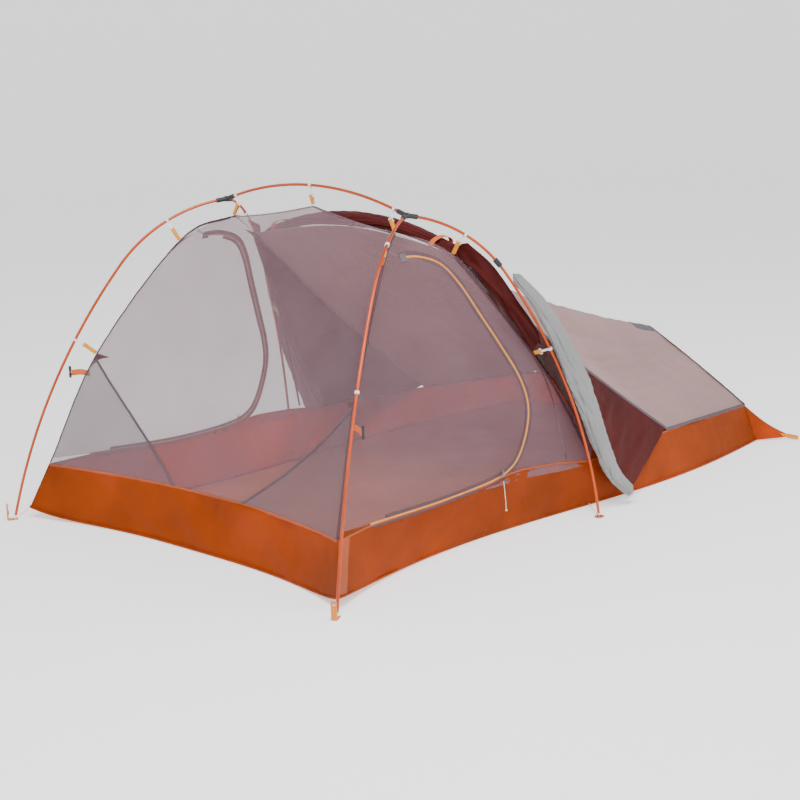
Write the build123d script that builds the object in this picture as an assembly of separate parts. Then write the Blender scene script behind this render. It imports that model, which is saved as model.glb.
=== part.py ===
from build123d import *
import math
import os

# Two-person tent: a hubbed pole set carries a mesh dome at the head end, a low solid roof at
# the foot end and a bathtub floor. All sizes are millimetres. x runs from the head poles' feet
# towards the foot end, y to the left of a sleeper looking that way, z up from the ground.

# --- driving dimensions -----------------------------------------------------------------
HEAD_FOOT_Y = 747.0         # half the distance between the two head feet
REAR_FOOT_X = 1219.0        # rear feet, measured from the head feet
REAR_FOOT_Y = 716.0
HUB_X = 674.0               # hubs, one above each long side
HUB_Y = 403.0
HUB_Z = 1007.0
RIDGE_RISE = 68.0           # the ridge pole's crown above the hubs
POLE_R = 4.5                # tube outside radius
POLE_WALL = 0.7
CORD_R = 1.5                # shock cord inside the tubes
CLEARANCE = 0.1             # between a tube and what slides into it

HEAD_LEG_START = 4.7        # degrees below level where the leg leaves its hub
HEAD_LEG_R = (522.0, 2050.0)  # bend radius of the upper and the lower stretch
HEAD_LEG_TURN = (46.9, 25.4)
REAR_LEG_START = 7.6
REAR_LEG_R = (456.0, 1810.0)
REAR_LEG_TURN = (47.3, 28.0)

FLOOR_CORNER = (39.0, 715.0, 35.0)    # head corner of the floor, lifted by its foot
FLOOR_HEAD_INSET = 109.0    # how far the head edge curves in between its corners
TIE_OUT_X = 1310.0          # where the floor is tied to the rear feet
TIE_OUT_Y = 600.0
FOOT_CORNER_X = 2393.0
FOOT_CORNER_Y = 553.0
FOOT_BULGE = 57.0           # how far the foot edge curves out at its middle
WALL_HEAD_TOP = (92.0, 664.0, 182.0)
WALL_SEAM_TOP = (1290.0, 622.0, 163.0)
WALL_ROOF_TOP = (1798.0, 569.0, 157.0)
WALL_FOOT_TOP = (2393.0, 500.0, 127.0)
APEX = (2484.0, 0.0, 355.0)  # top of the foot end

MESH_LOW = (250.0, 588.0, 533.0)      # where the mesh hangs from the head legs
MESH_HIGH = (512.0, 458.0, 882.0)
MESH_HUB = (665.0, 364.0, 954.0)
MESH_TOP = (679.0, 0.0, 1011.0)
MESH_REAR_HIGH = (832.0, 447.0, 874.0)
MESH_REAR_LOW = (1057.0, 577.0, 548.0)
ROOF_FRONT_TOP = (832.0, 0.0, 925.0)

SHEET = 2.0                 # thickness the cloth panels are drawn with
SEAM_GAP = 3.0              # room left between two panels along a seam
ROLL_HALF_WIDTH = 42.0      # the rolled fly, flattened
ROLL_HALF_HEIGHT = 19.0

SHIFT_X = -1241.8           # brings the middle of the length onto the origin

right, left = -1.0, 1.0     # sign of y on each long side


# --- small helpers ----------------------------------------------------------------------
def vec(point, side=left):
    """The point as a vector, on the left side or mirrored to the right."""
    return Vector(point[0], side * point[1], point[2])


def mix(a, b, t):
    return a + (b - a) * t


def save(name, shape):
    """Write one node, moved to the final frame."""
    export_step(Pos(SHIFT_X, 0, 0) * shape, "parts/" + name + ".step")


def group(shapes):
    return Compound(children=list(shapes))


def triangles(faces, a, b, c, d):
    """Close a four-sided cell with two flat triangles."""
    faces.append(Face(Wire.make_polygon([a, b, c])))
    faces.append(Face(Wire.make_polygon([a, c, d])))


def sheet_solid(grid, thickness=SHEET):
    """A closed sheet of even thickness over a grid of points."""
    rows, cols = len(grid), len(grid[0])

    def normal(i, j):
        along = grid[min(i + 1, rows - 1)][j] - grid[max(i - 1, 0)][j]
        across = grid[i][min(j + 1, cols - 1)] - grid[i][max(j - 1, 0)]
        return along.cross(across).normalized()

    half = thickness / 2
    top = [[grid[i][j] + normal(i, j) * half for j in range(cols)] for i in range(rows)]
    low = [[grid[i][j] - normal(i, j) * half for j in range(cols)] for i in range(rows)]
    faces = []
    for i in range(rows - 1):
        for j in range(cols - 1):
            triangles(faces, top[i][j], top[i + 1][j], top[i + 1][j + 1], top[i][j + 1])
            triangles(faces, low[i][j], low[i][j + 1], low[i + 1][j + 1], low[i + 1][j])
        triangles(faces, top[i][0], low[i][0], low[i + 1][0], top[i + 1][0])
        triangles(faces, top[i][-1], top[i + 1][-1], low[i + 1][-1], low[i][-1])
    for j in range(cols - 1):
        triangles(faces, top[0][j], top[0][j + 1], low[0][j + 1], low[0][j])
        triangles(faces, top[-1][j], low[-1][j], low[-1][j + 1], top[-1][j + 1])
    return Solid(Shell(faces))


def bundle_solid(rings):
    """A closed bag through a row of rings, with flat-sided facets and a fan at each end."""
    count = len(rings[0])
    faces = []
    for low, high in zip(rings, rings[1:]):
        for k in range(count):
            n = (k + 1) % count
            triangles(faces, low[k], low[n], high[n], high[k])
    for ring, turn in ((rings[0], 1), (rings[-1], -1)):
        middle = sum(ring, Vector(0, 0, 0)) * (1 / count)
        for k in range(count)[::turn]:
            n = (k + turn) % count
            faces.append(Face(Wire.make_polygon([middle, ring[n], ring[k]])))
    return Solid(Shell(faces))


# --- pole lines -------------------------------------------------------------------------
def leg_plane(foot_x, foot_y, side):
    """Unit vector along the ground from a hub towards its foot."""
    return Vector(foot_x - HUB_X, side * (foot_y - HUB_Y), 0).normalized()


def leg_point(leg, side, stretch, turn_part):
    """Point and heading on a leg: two tangent arcs in the upright plane of hub and foot."""
    foot, start, radii, turns = leg
    out = leg_plane(foot[0], foot[1], side)
    place = Vector(HUB_X, side * HUB_Y, HUB_Z)
    angle = math.radians(start)
    for k in range(stretch + 1):
        part = turn_part if k == stretch else 1.0
        nxt = angle + math.radians(turns[k]) * part
        place += out * (radii[k] * (math.sin(nxt) - math.sin(angle)))
        place += Vector(0, 0, radii[k] * (math.cos(nxt) - math.cos(angle)))
        angle = nxt
    return place, out * math.cos(angle) - Vector(0, 0, math.sin(angle))


HEAD_LEG = ((0.0, HEAD_FOOT_Y), HEAD_LEG_START, HEAD_LEG_R, HEAD_LEG_TURN)
REAR_LEG = ((REAR_FOOT_X, REAR_FOOT_Y), REAR_LEG_START, REAR_LEG_R, REAR_LEG_TURN)
RIDGE_R = (HUB_Y**2 + RIDGE_RISE**2) / (2 * RIDGE_RISE)
RIDGE_CENTRE = Vector(HUB_X, 0, HUB_Z + RIDGE_RISE - RIDGE_R)


def ridge_point(y):
    """Point on the ridge pole's arc at a given y."""
    return Vector(HUB_X, y, RIDGE_CENTRE.Z + math.sqrt(RIDGE_R**2 - y**2))


def leg_arc(leg, side, stretch, start, end):
    a = leg_point(leg, side, stretch, start)[0]
    b = leg_point(leg, side, stretch, (start + end) / 2)[0]
    c = leg_point(leg, side, stretch, end)[0]
    return ThreePointArc(a, b, c)


def ridge_arc(y0, y1):
    return ThreePointArc(ridge_point(y0), ridge_point((y0 + y1) / 2), ridge_point(y1))


def rod(path, outer, inner=0.0):
    """A round bar or tube along a path."""
    section = Plane(origin=path @ 0, z_dir=path % 0)
    ring = section * Circle(outer)
    if inner > 0:
        ring -= section * Circle(inner)
    return sweep(ring, path=path)


SOCKET_START = 10.0         # bare middle of a hub, before the first tube
SOCKET_END = 36.0
TIP_LENGTH = 16.0           # plastic tip below the lowest tube


def share(leg, stretch, length):
    """A length along a leg's stretch as a share of that stretch."""
    return length / (leg[2][stretch] * math.radians(leg[3][stretch]))


def leg_upper(leg, side):
    return rod(leg_arc(leg, side, 0, share(leg, 0, SOCKET_START), 1), POLE_R, POLE_R - POLE_WALL)


def leg_lower(leg, side):
    """The two lower sections, butted at the middle."""
    end = 1 - share(leg, 1, TIP_LENGTH)
    spans = ((0.0, 0.5), (0.5, end))
    return group(rod(leg_arc(leg, side, 1, a, b), POLE_R, POLE_R - POLE_WALL) for a, b in spans)


def ridge_half(side):
    inner_y = side * 0.2
    outer_y = side * (HUB_Y - SOCKET_START * math.cos(math.asin(HUB_Y / RIDGE_R)))
    return rod(ridge_arc(inner_y, outer_y), POLE_R, POLE_R - POLE_WALL)


FERRULE_R = POLE_R - POLE_WALL - CLEARANCE
FERRULE_BORE = CORD_R + 1.0
FERRULE_HALF = 35.0


def ferrules():
    """Short inner tubes that join the sections: one in the ridge, two in each leg."""
    parts = [rod(ridge_arc(-FERRULE_HALF, FERRULE_HALF), FERRULE_R, FERRULE_BORE)]
    for leg in (HEAD_LEG, REAR_LEG):
        for side in (right, left):
            mid = share(leg, 1, FERRULE_HALF)
            upper = leg_arc(leg, side, 0, 1 - share(leg, 0, FERRULE_HALF), 1)
            lower = leg_arc(leg, side, 1, 0, mid)
            parts.append(rod(upper, FERRULE_R, FERRULE_BORE))
            parts.append(rod(lower, FERRULE_R, FERRULE_BORE))
            parts.append(rod(leg_arc(leg, side, 1, 0.5 - mid, 0.5 + mid), FERRULE_R, FERRULE_BORE))
    return group(parts)


def shock_cords():
    """One elastic cord in each leg and in the ridge, knotted at the tip and the hub."""
    reach = HUB_Y - 2 * SOCKET_START
    parts = [rod(ridge_arc(-reach, reach), CORD_R)]
    for leg in (HEAD_LEG, REAR_LEG):
        for side in (right, left):
            parts.append(rod(leg_arc(leg, side, 0, share(leg, 0, 2 * SOCKET_START), 1), CORD_R))
            parts.append(rod(leg_arc(leg, side, 1, 0, 1 - share(leg, 1, 42.0)), CORD_R))
    return group(parts)


HUB_SOCKET_R = 7.5
HUB_MIDDLE_R = 9.2


def socket(centre, first, last, radius, start):
    """A straight cylinder along the chord of a tube's stretch inside the hub."""
    along = (last - first).normalized()
    reach = (last - centre).length - start
    frame = Plane(origin=first - along * (SOCKET_START - start), z_dir=along)
    return frame * Cylinder(radius, reach, align=(Align.CENTER, Align.CENTER, Align.MIN))


def hub(side):
    """Moulded hub: a round middle with three sockets, for the ridge and two legs."""
    centre = Vector(HUB_X, side * HUB_Y, HUB_Z)
    inward = math.cos(math.asin(HUB_Y / RIDGE_R))
    ends = [[ridge_point(side * (HUB_Y - reach * inward)) for reach in (SOCKET_START, SOCKET_END)]]
    for leg in (HEAD_LEG, REAR_LEG):
        ends.append([leg_point(leg, side, 0, share(leg, 0, reach))[0]
                     for reach in (SOCKET_START, SOCKET_END)])
    body = Pos(*centre) * Cylinder(HUB_MIDDLE_R, HUB_SOCKET_R * 2 + 2)
    for first, last in ends:
        body += socket(centre, first, last, HUB_SOCKET_R, 0.0)
    for first, last in ends:
        body -= socket(centre, first, last + (last - first) * 0.1, POLE_R + 0.35, SOCKET_START - 0.3)
    return body


def pole_tips():
    """A plug in the bottom of each leg, ending in a small ball that stands on the ground."""
    parts = []
    ball = 3.6
    for leg in (HEAD_LEG, REAR_LEG):
        for side in (right, left):
            seat, down = leg_point(leg, side, 1, 1 - share(leg, 1, TIP_LENGTH))
            end = leg_point(leg, side, 1, 1)[0]
            frame = Plane(origin=seat, z_dir=down)
            centre = seat + down * (seat.Z - ball) * (1 / -down.Z)
            reach = (centre - seat).length
            plug = frame.offset(-16) * Cylinder(FERRULE_R, 16, align=(Align.CENTER, Align.CENTER, Align.MIN))
            collar = frame * Cylinder(POLE_R, 3, align=(Align.CENTER, Align.CENTER, Align.MIN))
            neck = frame * Cylinder(2.4, reach, align=(Align.CENTER, Align.CENTER, Align.MIN))
            parts.append(plug + collar + neck + Pos(*centre) * Sphere(ball))
    return group(parts)


# --- feet and their cords ---------------------------------------------------------------
FOOT_PLATE = 3.0
FOOT_WIDTH = 17.0


def head_foot(side):
    """Moulded foot: a plate the tip stands in, and an upright tongue with a webbing slot."""
    out = leg_plane(0.0, HEAD_FOOT_Y, side)
    across = Vector(-out.Y, out.X, 0)
    tip = Vector(0, side * HEAD_FOOT_Y, 0)
    frame = Plane(origin=tip, x_dir=out, z_dir=Vector(0, 0, 1))
    plate = frame * Pos(8, 0, FOOT_PLATE / 2) * Box(34, FOOT_WIDTH, FOOT_PLATE)
    tongue = frame * Pos(23, 0, 27) * Box(4, FOOT_WIDTH, 54)
    step = frame * Pos(22, 0, 24) * Box(7, FOOT_WIDTH - 6, 12)
    slot = frame * Pos(23, 0, 43) * Box(12, FOOT_WIDTH - 7, 5)
    hole = frame * Pos(0, 0, 5) * Cylinder(5.4, 14)
    return plate + tongue + step - slot - hole


def rear_foot(side):
    """A small two-eared cleat round the rear tip, with an eye for its cord."""
    tip = Vector(REAR_FOOT_X, side * REAR_FOOT_Y, 0)
    inward = Vector(TIE_OUT_X - REAR_FOOT_X, side * (TIE_OUT_Y - REAR_FOOT_Y), 0).normalized()
    frame = Plane(origin=tip, x_dir=inward, z_dir=Vector(0, 0, 1))
    body = frame * Pos(0, 0, 5) * Cylinder(9, 6)
    ears = frame * Pos(0, 0, 5) * Box(8, 30, 4)
    hole = frame * Pos(0, 0, 5) * Cylinder(5.4, 14)
    eye = frame * Pos(11, 0, 5) * Cylinder(5, 4)
    return body + ears + eye - hole


TIE_CORD_R = 1.2


def cord_route(points):
    """Straight runs joined by tangent arcs as large as the runs allow."""
    spots = [Vector(*p) for p in points]
    radii = []
    for a, b, c in zip(spots, spots[1:], spots[2:]):
        turn = math.radians((b - a).get_angle(c - b))
        shorter = min((b - a).length, (c - b).length)
        radii.append(0.45 * shorter / math.tan(turn / 2))
    print("cord radii", [round(r, 1) for r in radii])
    return FilletPolyline(*spots, radius=radii)


def rear_cord_points(side):
    """From the cleat's eye, a little slack, to the tab on the floor's edge."""
    start = Vector(REAR_FOOT_X + 9.9, side * (REAR_FOOT_Y - 12.6), 5.0)
    end = Vector(TIE_OUT_X - 8.0, side * (TIE_OUT_Y + 10.0), 11.0)
    drops = ((0.0, 0.0), (0.3, -1.4), (0.62, -2.0), (1.0, 0.0))
    return [mix(start, end, t) + Vector(0, 0, dz) for t, dz in drops]


def head_cord_points(side):
    """From the head foot's tongue side back to the floor's corner."""
    start = Vector(6.0, side * (HEAD_FOOT_Y - 11.0), 14.0)
    end = Vector(FLOOR_CORNER[0] - 5, side * (FLOOR_CORNER[1] + 4), FLOOR_CORNER[2] - 4)
    drops = ((0.0, 0.0), (0.5, -0.9), (1.0, 0.0))
    return [mix(start, end, t) + Vector(0, 0, dz) for t, dz in drops]


def tie_cord(points):
    return rod(cord_route(points), TIE_CORD_R)


# --- clips and straps -------------------------------------------------------------------
def clip_sites():
    """Pole point, pole heading and mesh corner of every clip, for the right side and the top."""
    ridge = []
    for side in (right, left):
        y = side * (HUB_Y - 48)
        slope = (ridge_point(y + side * 2) - ridge_point(y)).normalized()
        ridge.append((ridge_point(y), slope, vec(MESH_HUB, side)))
    ridge.append((ridge_point(6.0), Vector(0, 1, 0), vec(MESH_TOP)))
    head, rear = [], []
    for side in (right, left):
        head.append((*leg_point(HEAD_LEG, side, 0, 0.5), vec(MESH_HIGH, side)))
        head.append((*leg_point(HEAD_LEG, side, 1, 0.31), vec(MESH_LOW, side)))
        rear.append((*leg_point(REAR_LEG, side, 0, 0.53), vec(MESH_REAR_HIGH, side)))
        rear.append((*leg_point(REAR_LEG, side, 1, 0.33), vec(MESH_REAR_LOW, side)))
    return {"ridge": ridge, "head_leg": head, "rear_leg": rear}


CLIP_RING_R = 7.2
CLIP_REACH = 34.0           # from the pole's axis to the strap's slot
STRAP_WIDTH = 13.0


def clip(site):
    """A ring snapped over the pole, a shank and a slotted end for the strap."""
    spot, heading, corner = site
    pull = (corner - spot).normalized()
    pull = (pull - heading * pull.dot(heading)).normalized()
    frame = Plane(origin=spot, x_dir=pull, z_dir=heading)
    ring = frame * Cylinder(CLIP_RING_R, 8)
    shank = frame * Pos(CLIP_REACH / 2, 0, 0) * Box(CLIP_REACH, 4, 6)
    head = frame * Pos(CLIP_REACH, 0, 0) * Box(8, 4, STRAP_WIDTH + 6)
    slot = frame * Pos(CLIP_REACH, 0, 0) * Box(3.4, 12, STRAP_WIDTH + 1)
    return ring + shank + head - slot - frame * Cylinder(POLE_R + CLEARANCE, 20)


def strap(site):
    """Webbing from the clip's slot to the mesh corner."""
    spot, heading, corner = site
    pull = (corner - spot).normalized()
    pull = (pull - heading * pull.dot(heading)).normalized()
    start = spot + pull * (CLIP_REACH + 10)
    along = (corner - start).normalized()
    across = (heading - along * heading.dot(along)).normalized()
    stop = corner - along * 3
    half = across * (STRAP_WIDTH / 2)
    grid = [[start - half, start + half], [stop - half, stop + half]]
    return sheet_solid(grid, 1.6)


# --- floor and bathtub walls ------------------------------------------------------------
def floor_edge_y(x):
    """Half width of the floor: cut in between the head corner and the tie-out, then out."""
    if x < TIE_OUT_X:
        t = (x - FLOOR_CORNER[0]) / (TIE_OUT_X - FLOOR_CORNER[0])
        flare = FLOOR_CORNER[1] - TIE_OUT_Y
        return TIE_OUT_Y + flare * (1 - t) ** 4 - 35 * math.sin(math.pi * t)
    t = (x - TIE_OUT_X) / (FOOT_CORNER_X - TIE_OUT_X)
    return mix(TIE_OUT_Y, FOOT_CORNER_Y, t) + 40 * math.sin(math.pi * t)


def floor_point(t, v):
    """Floor surface: t runs from head to foot, v from the right edge to the left."""
    x = mix(FLOOR_CORNER[0], FOOT_CORNER_X, t)
    head = FLOOR_HEAD_INSET * (1 - abs(v) ** 3) * (1 - t) ** 3
    foot = FOOT_BULGE * (1 - v * v) * t**3
    lift = FLOOR_CORNER[2] * abs(v) ** 8 * (1 - t) ** 14
    return Vector(x + head + foot, v * floor_edge_y(x), lift + SHEET / 2)


def steps(count, low=0.0, high=1.0):
    return [mix(low, high, k / count) for k in range(count + 1)]


def floor_sheet():
    inset = 0.995
    return sheet_solid([[floor_point(t, v * inset) for v in steps(10, -1, 1)]
                        for t in steps(20, 0.001, 0.999)])


def wall_top(x, side):
    """Top edge of the long walls: sags between head corner and seam, then straight."""
    seam, roof, foot = WALL_SEAM_TOP, WALL_ROOF_TOP, WALL_FOOT_TOP
    if x < seam[0]:
        t = (x - WALL_HEAD_TOP[0]) / (seam[0] - WALL_HEAD_TOP[0])
        dip = math.sin(math.pi * t)
        y = mix(WALL_HEAD_TOP[1], seam[1], t) - 42 * dip
        return Vector(x, side * y, mix(WALL_HEAD_TOP[2], seam[2], t) - 22 * dip)
    first, last = (seam, roof) if x < roof[0] else (roof, foot)
    t = (x - first[0]) / (last[0] - first[0])
    return Vector(x, side * mix(first[1], last[1], t), mix(first[2], last[2], t))


def side_wall(side):
    grid = []
    for t in steps(22, 0.003, 0.997):
        low = floor_point(t, side)
        high = wall_top(mix(WALL_HEAD_TOP[0], WALL_FOOT_TOP[0], t), side)
        low = low + Vector(0, side * 2.0, 0)
        grid.append([low, mix(low, high, 0.5), high])
    return sheet_solid(grid)


def head_wall_top(v):
    """Top edge of the head wall: v runs from the right corner to the left."""
    bow = 1 - v * v
    return Vector(WALL_HEAD_TOP[0] + 106 * bow, v * WALL_HEAD_TOP[1], WALL_HEAD_TOP[2] - 8 * bow)


def head_wall():
    grid = []
    for v in steps(12, -0.993, 0.993):
        low = floor_point(0, v) - Vector(3, 0, 0)
        grid.append([low, mix(low, head_wall_top(v), 0.5), head_wall_top(v)])
    return sheet_solid(grid)


def foot_edge(v):
    """Lower edge of the roof across the foot end, straight from corner up to the apex."""
    rise = 1 - abs(v)
    return Vector(mix(WALL_FOOT_TOP[0], APEX[0], rise), v * WALL_FOOT_TOP[1],
                  mix(WALL_FOOT_TOP[2], APEX[2], rise))


def foot_wall_top(v):
    bow = 1 - v * v
    return Vector(WALL_FOOT_TOP[0] + 62 * bow, v * WALL_FOOT_TOP[1], WALL_FOOT_TOP[2])


def foot_wall():
    grid = []
    for v in steps(8, -0.99, 0.99):
        low = floor_point(1, v) + Vector(3, 0, 0)
        grid.append([low, foot_wall_top(v) + Vector(3, 0, 0)])
    return sheet_solid(grid)


def foot_end_panel():
    """The upright triangle between the foot wall and the roof's edge."""
    grid = []
    for v in steps(8, -0.93, 0.93):
        low = foot_wall_top(v) + Vector(3, 0, SEAM_GAP)
        high = foot_edge(v) - Vector(4, 0, 3)
        grid.append([low, high])
    return sheet_solid(grid)


# --- mesh panels ------------------------------------------------------------------------
def through(points, t):
    """A smooth line through a few points, t from 0 to 1, with even chord spacing."""
    spans = [(b - a).length for a, b in zip(points, points[1:])]
    target = t * sum(spans)
    k = 0
    while k < len(spans) - 1 and target > spans[k]:
        target -= spans[k]
        k += 1
    s = target / spans[k]
    before = points[k - 1] if k > 0 else points[k] * 2 - points[k + 1]
    after = points[k + 2] if k + 2 < len(points) else points[k + 1] * 2 - points[k]
    a, b = points[k], points[k + 1]
    return (a * 2 + (b - before) * s + (before * 2 - a * 5 + b * 4 - after) * s**2
            + (a * 3 - before - b * 3 + after) * s**3) * 0.5


HEAD_SEAM = [vec(p) for p in (WALL_HEAD_TOP, MESH_LOW, MESH_HIGH, MESH_HUB)]
REAR_SEAM = [vec(p) for p in (WALL_SEAM_TOP, MESH_REAR_LOW, MESH_REAR_HIGH)]


def seam_at(seam, side, t):
    spot = through(seam, t)
    return Vector(spot.X, side * spot.Y, spot.Z)


def ridge_edge(v):
    """Top edge of the head mesh: straight from each hub corner to the middle, with a sag."""
    rise = 1 - abs(v)
    sag = 6 * math.sin(math.pi * rise)
    return Vector(mix(MESH_HUB[0], MESH_TOP[0], rise), v * MESH_HUB[1],
                  mix(MESH_HUB[2], MESH_TOP[2], rise) - sag)


def head_mesh_point(v, t):
    """Head panel: the two seams, the wall's top and the ridge edge, pulled in at the middle."""
    side = seam_at(HEAD_SEAM, left, t)
    across = Vector(side.X, v * side.Y, side.Z)
    bottom = head_wall_top(v) - Vector(WALL_HEAD_TOP[0], v * WALL_HEAD_TOP[1], WALL_HEAD_TOP[2])
    top = ridge_edge(v) - Vector(MESH_HUB[0], v * MESH_HUB[1], MESH_HUB[2])
    pull = 55 * math.sin(math.pi * t) * (1 - v * v)
    return across + bottom * (1 - t) + top * t + Vector(pull, 0, -0.5 * pull)


def head_mesh():
    return sheet_solid([[head_mesh_point(v, t) for v in steps(10, -0.985, 0.985)]
                        for t in steps(10, 0.006, 0.994)])


def roof_front(v):
    """Front edge of the foot roof, from corner to corner over the middle."""
    rise = 1 - v * v
    return Vector(MESH_REAR_HIGH[0], v * MESH_REAR_HIGH[1], mix(MESH_REAR_HIGH[2], ROOF_FRONT_TOP[2], rise))


def roof_mesh():
    """The narrow mesh strip between the ridge edge and the roof's front edge."""
    grid = []
    for v in steps(8, -0.97, 0.97):
        grid.append([mix(ridge_edge(v), roof_front(v), t) for t in (0.04, 0.5, 0.96)])
    return sheet_solid(grid)


def side_y(x, z):
    """Half width of the long side at a height: an arch in z, drawn in low down by the floor."""
    arch = side_arch(z)
    along = min(max((x - WALL_HEAD_TOP[0]) / (WALL_SEAM_TOP[0] - WALL_HEAD_TOP[0]), 0), 1)
    low = max(1 - (z - 150) / 400, 0) ** 2
    pulled = 49 * along + 50 * math.sin(math.pi * along)
    belly = 16 * math.sin(math.pi * along) * math.sin(math.pi * min(max((z - 150) / 800, 0), 1))
    return arch - pulled * low - belly


ARCH = [Vector(y, z, 0) for y, z in ((675, 150), (583, 540), (453, 878), (364, 954))]


def side_arch(z):
    """Half width of the arch at a height, by halving along its smooth line."""
    low, high = 0.0, 1.0
    for _ in range(24):
        mid = (low + high) / 2
        if through(ARCH, mid).Y < z:
            low = mid
        else:
            high = mid
    return through(ARCH, low).X


def side_point(x, z, side):
    return Vector(x, side * side_y(x, z), z)


# The door's zip, as x and z: along the wall, round the rear corner, up and over to the seam.
ZIP_LINE = [Vector(x, z, 0) for x, z in (
    (235, 190), (560, 176), (800, 183), (905, 206), (962, 262), (1000, 372), (985, 470),
    (925, 592), (872, 690), (818, 790), (762, 855), (680, 886), (600, 892))]
ZIP_BOTTOM_RIGHT = 0.3      # share of the zip line used by the straight lower run


def zip_point(t, out=0.0):
    """Point on the zip as x and z, moved outwards from the door by a distance."""
    here = through(ZIP_LINE, t)
    ahead = through(ZIP_LINE, min(t + 0.004, 1)) - through(ZIP_LINE, max(t - 0.004, 0))
    ahead = ahead.normalized()
    return here.X + ahead.Y * out, here.Y - ahead.X * out


HINGE_LOW = (150.0, 205.0)    # x and z of the door's hinge line at the bottom and the top
HINGE_HIGH = (520.0, 866.0)
ZIP_HALF = 5.0


def hinge_at(t):
    return mix(HINGE_LOW[0], HINGE_HIGH[0], t), mix(HINGE_LOW[1], HINGE_HIGH[1], t)


DOOR_SWING = 100            # degrees the door swings outwards
HINGE_STAND_OFF = 2.0


def hinge_axis(side):
    """The straight line the door swings on: it touches the hinge edge where that bulges most."""
    low, high = side_point(*hinge_at(0), side), side_point(*hinge_at(1), side)
    bulge = 0.0
    for t in steps(20):
        edge, chord = side_point(*hinge_at(t), side), mix(low, high, t)
        bulge = max(bulge, side * (edge.Y - chord.Y))
    shift = Vector(0, side * (bulge + HINGE_STAND_OFF), 0)
    return low + shift, high + shift


def door(side):
    """Mesh door: from its hinge line at the head to just inside the zip."""
    grid = []
    for t in steps(20, 0.0, 1.0):
        zx, zz = zip_point(t, -ZIP_HALF - 2)
        hx, hz = hinge_at(t)
        row = []
        for s in steps(5):
            x, z = mix(hx, zx, s), mix(hz, zz, s)
            row.append(side_point(x, z, side))
        grid.append(row)
    return sheet_solid(grid)


def surround_outer(t):
    """Outer edge of the side mesh as x and z: wall top, rear seam, hub edge, down to the door."""
    spots = [Vector(235, 176, 0), Vector(600, 162, 0), Vector(950, 162, 0), Vector(1275, 176, 0),
             Vector(1178, 360, 0), Vector(1045, 560, 0), Vector(950, 720, 0), Vector(828, 866, 0),
             Vector(668, 944, 0), Vector(560, 908, 0)]
    return through(spots, t)


def side_mesh(side):
    """The fixed mesh round the door: a ribbon from the lower corner, up and over the top."""
    grid = []
    for t in steps(26, 0.30, 1.0):
        zx, zz = zip_point(t, ZIP_HALF + 2)
        edge = surround_outer(t)
        row = []
        for s in (0.0, 0.33, 0.66, 1.0):
            x, z = mix(zx, edge.X, s), mix(zz, edge.Y, s)
            row.append(side_point(x, z, side))
        grid.append(row)
    return group([sheet_solid(grid), seam_gore(side)])


def seam_gore(side):
    """Narrow strip of side mesh between the head seam and the door's hinge line."""
    grid = []
    for t in steps(12, 0.02, 1.0):
        hx, hz = hinge_at(t)
        edge = seam_at(HEAD_SEAM, side, mix(0.03, 0.735, t))
        inner = side_point(hx - SEAM_GAP, hz, side)
        edge += (inner - edge).normalized() * SEAM_GAP
        grid.append([edge, inner])
    return sheet_solid(grid)


def zip_track(side):
    """The zip's tape and coil, a narrow band all the way round the door."""
    grid = []
    for t in steps(40, 0.0, 1.0):
        row = []
        for out in (-ZIP_HALF + 1, ZIP_HALF - 1):
            x, z = zip_point(t, out)
            row.append(side_point(x, z, side))
        grid.append(row)
    return sheet_solid(grid)


# --- sliders and their cords ------------------------------------------------------------
SLIDER_X = 868.0            # where the slider stands when the door is closed
SLIDER_Z = 196.0
SLIDER_TRAVEL = 420.0


def slider_spot(side):
    spot = side_point(SLIDER_X, SLIDER_Z, side)
    return spot + Vector(0, side * 6.0, 0)


def slider(side):
    """Zip slider: a body just outside the coil, a bridge and a pull with an eye."""
    frame = Plane(origin=slider_spot(side), x_dir=Vector(1, 0, 0), z_dir=Vector(0, side, 0))
    body = frame * Box(13, 9, 3.4)
    bridge = frame * Pos(0, 0, 3.4) * Box(9, 3, 3.6)
    pull = frame * Pos(0, -side * 8, 4.2) * Box(5, 18, 1.6)
    eye = frame * Pos(0, -side * 14, 4.2) * Cylinder(1.6, 5)
    return body + bridge + pull - eye


def slider_end_z():
    """Height of the zip at the far end of the slider's run."""
    for t in steps(400):
        x, z = zip_point(t)
        if x >= SLIDER_X - SLIDER_TRAVEL:
            return z
    return SLIDER_Z


PULL_CORD_R = 1.1


def pull_cord_points(side):
    """From the pull's eye down the outside of the wall, hanging free."""
    top = slider_spot(side) + Vector(0, side * 4.2, -18.5)
    hang = ((0, 0.0, 0), (2, 1.6, -20), (1, 4.2, -42), (4, 5.0, -65), (3, 7.4, -92))
    return [top + Vector(dx, side * dy, dz) for dx, dy, dz in hang]


def pull_cord(side):
    points = pull_cord_points(side)
    return rod(cord_route(points), PULL_CORD_R)


# --- foot roof, side panels, fly --------------------------------------------------------
def roof_ridge(x):
    """Height of the roof's ridge: a hollow curve down to the apex."""
    u = APEX[0] - x
    height = APEX[2] + 0.249 * u + 0.0634e-3 * u * u
    start = max(1 - (x - ROOF_FRONT_TOP[0]) / 300, 0) ** 2
    return height - 14 * start


def roof_low_edge(x, side):
    """Lower edge of the roof: the slanting side seam, then the wall's top."""
    if x >= WALL_ROOF_TOP[0]:
        return wall_top(x, side)
    t = (x - MESH_REAR_HIGH[0]) / (WALL_ROOF_TOP[0] - MESH_REAR_HIGH[0])
    sag = 24 * math.sin(math.pi * t)
    return Vector(x, side * mix(MESH_REAR_HIGH[1], WALL_ROOF_TOP[1], t),
                  mix(MESH_REAR_HIGH[2], WALL_ROOF_TOP[2], t) - sag)


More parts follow.
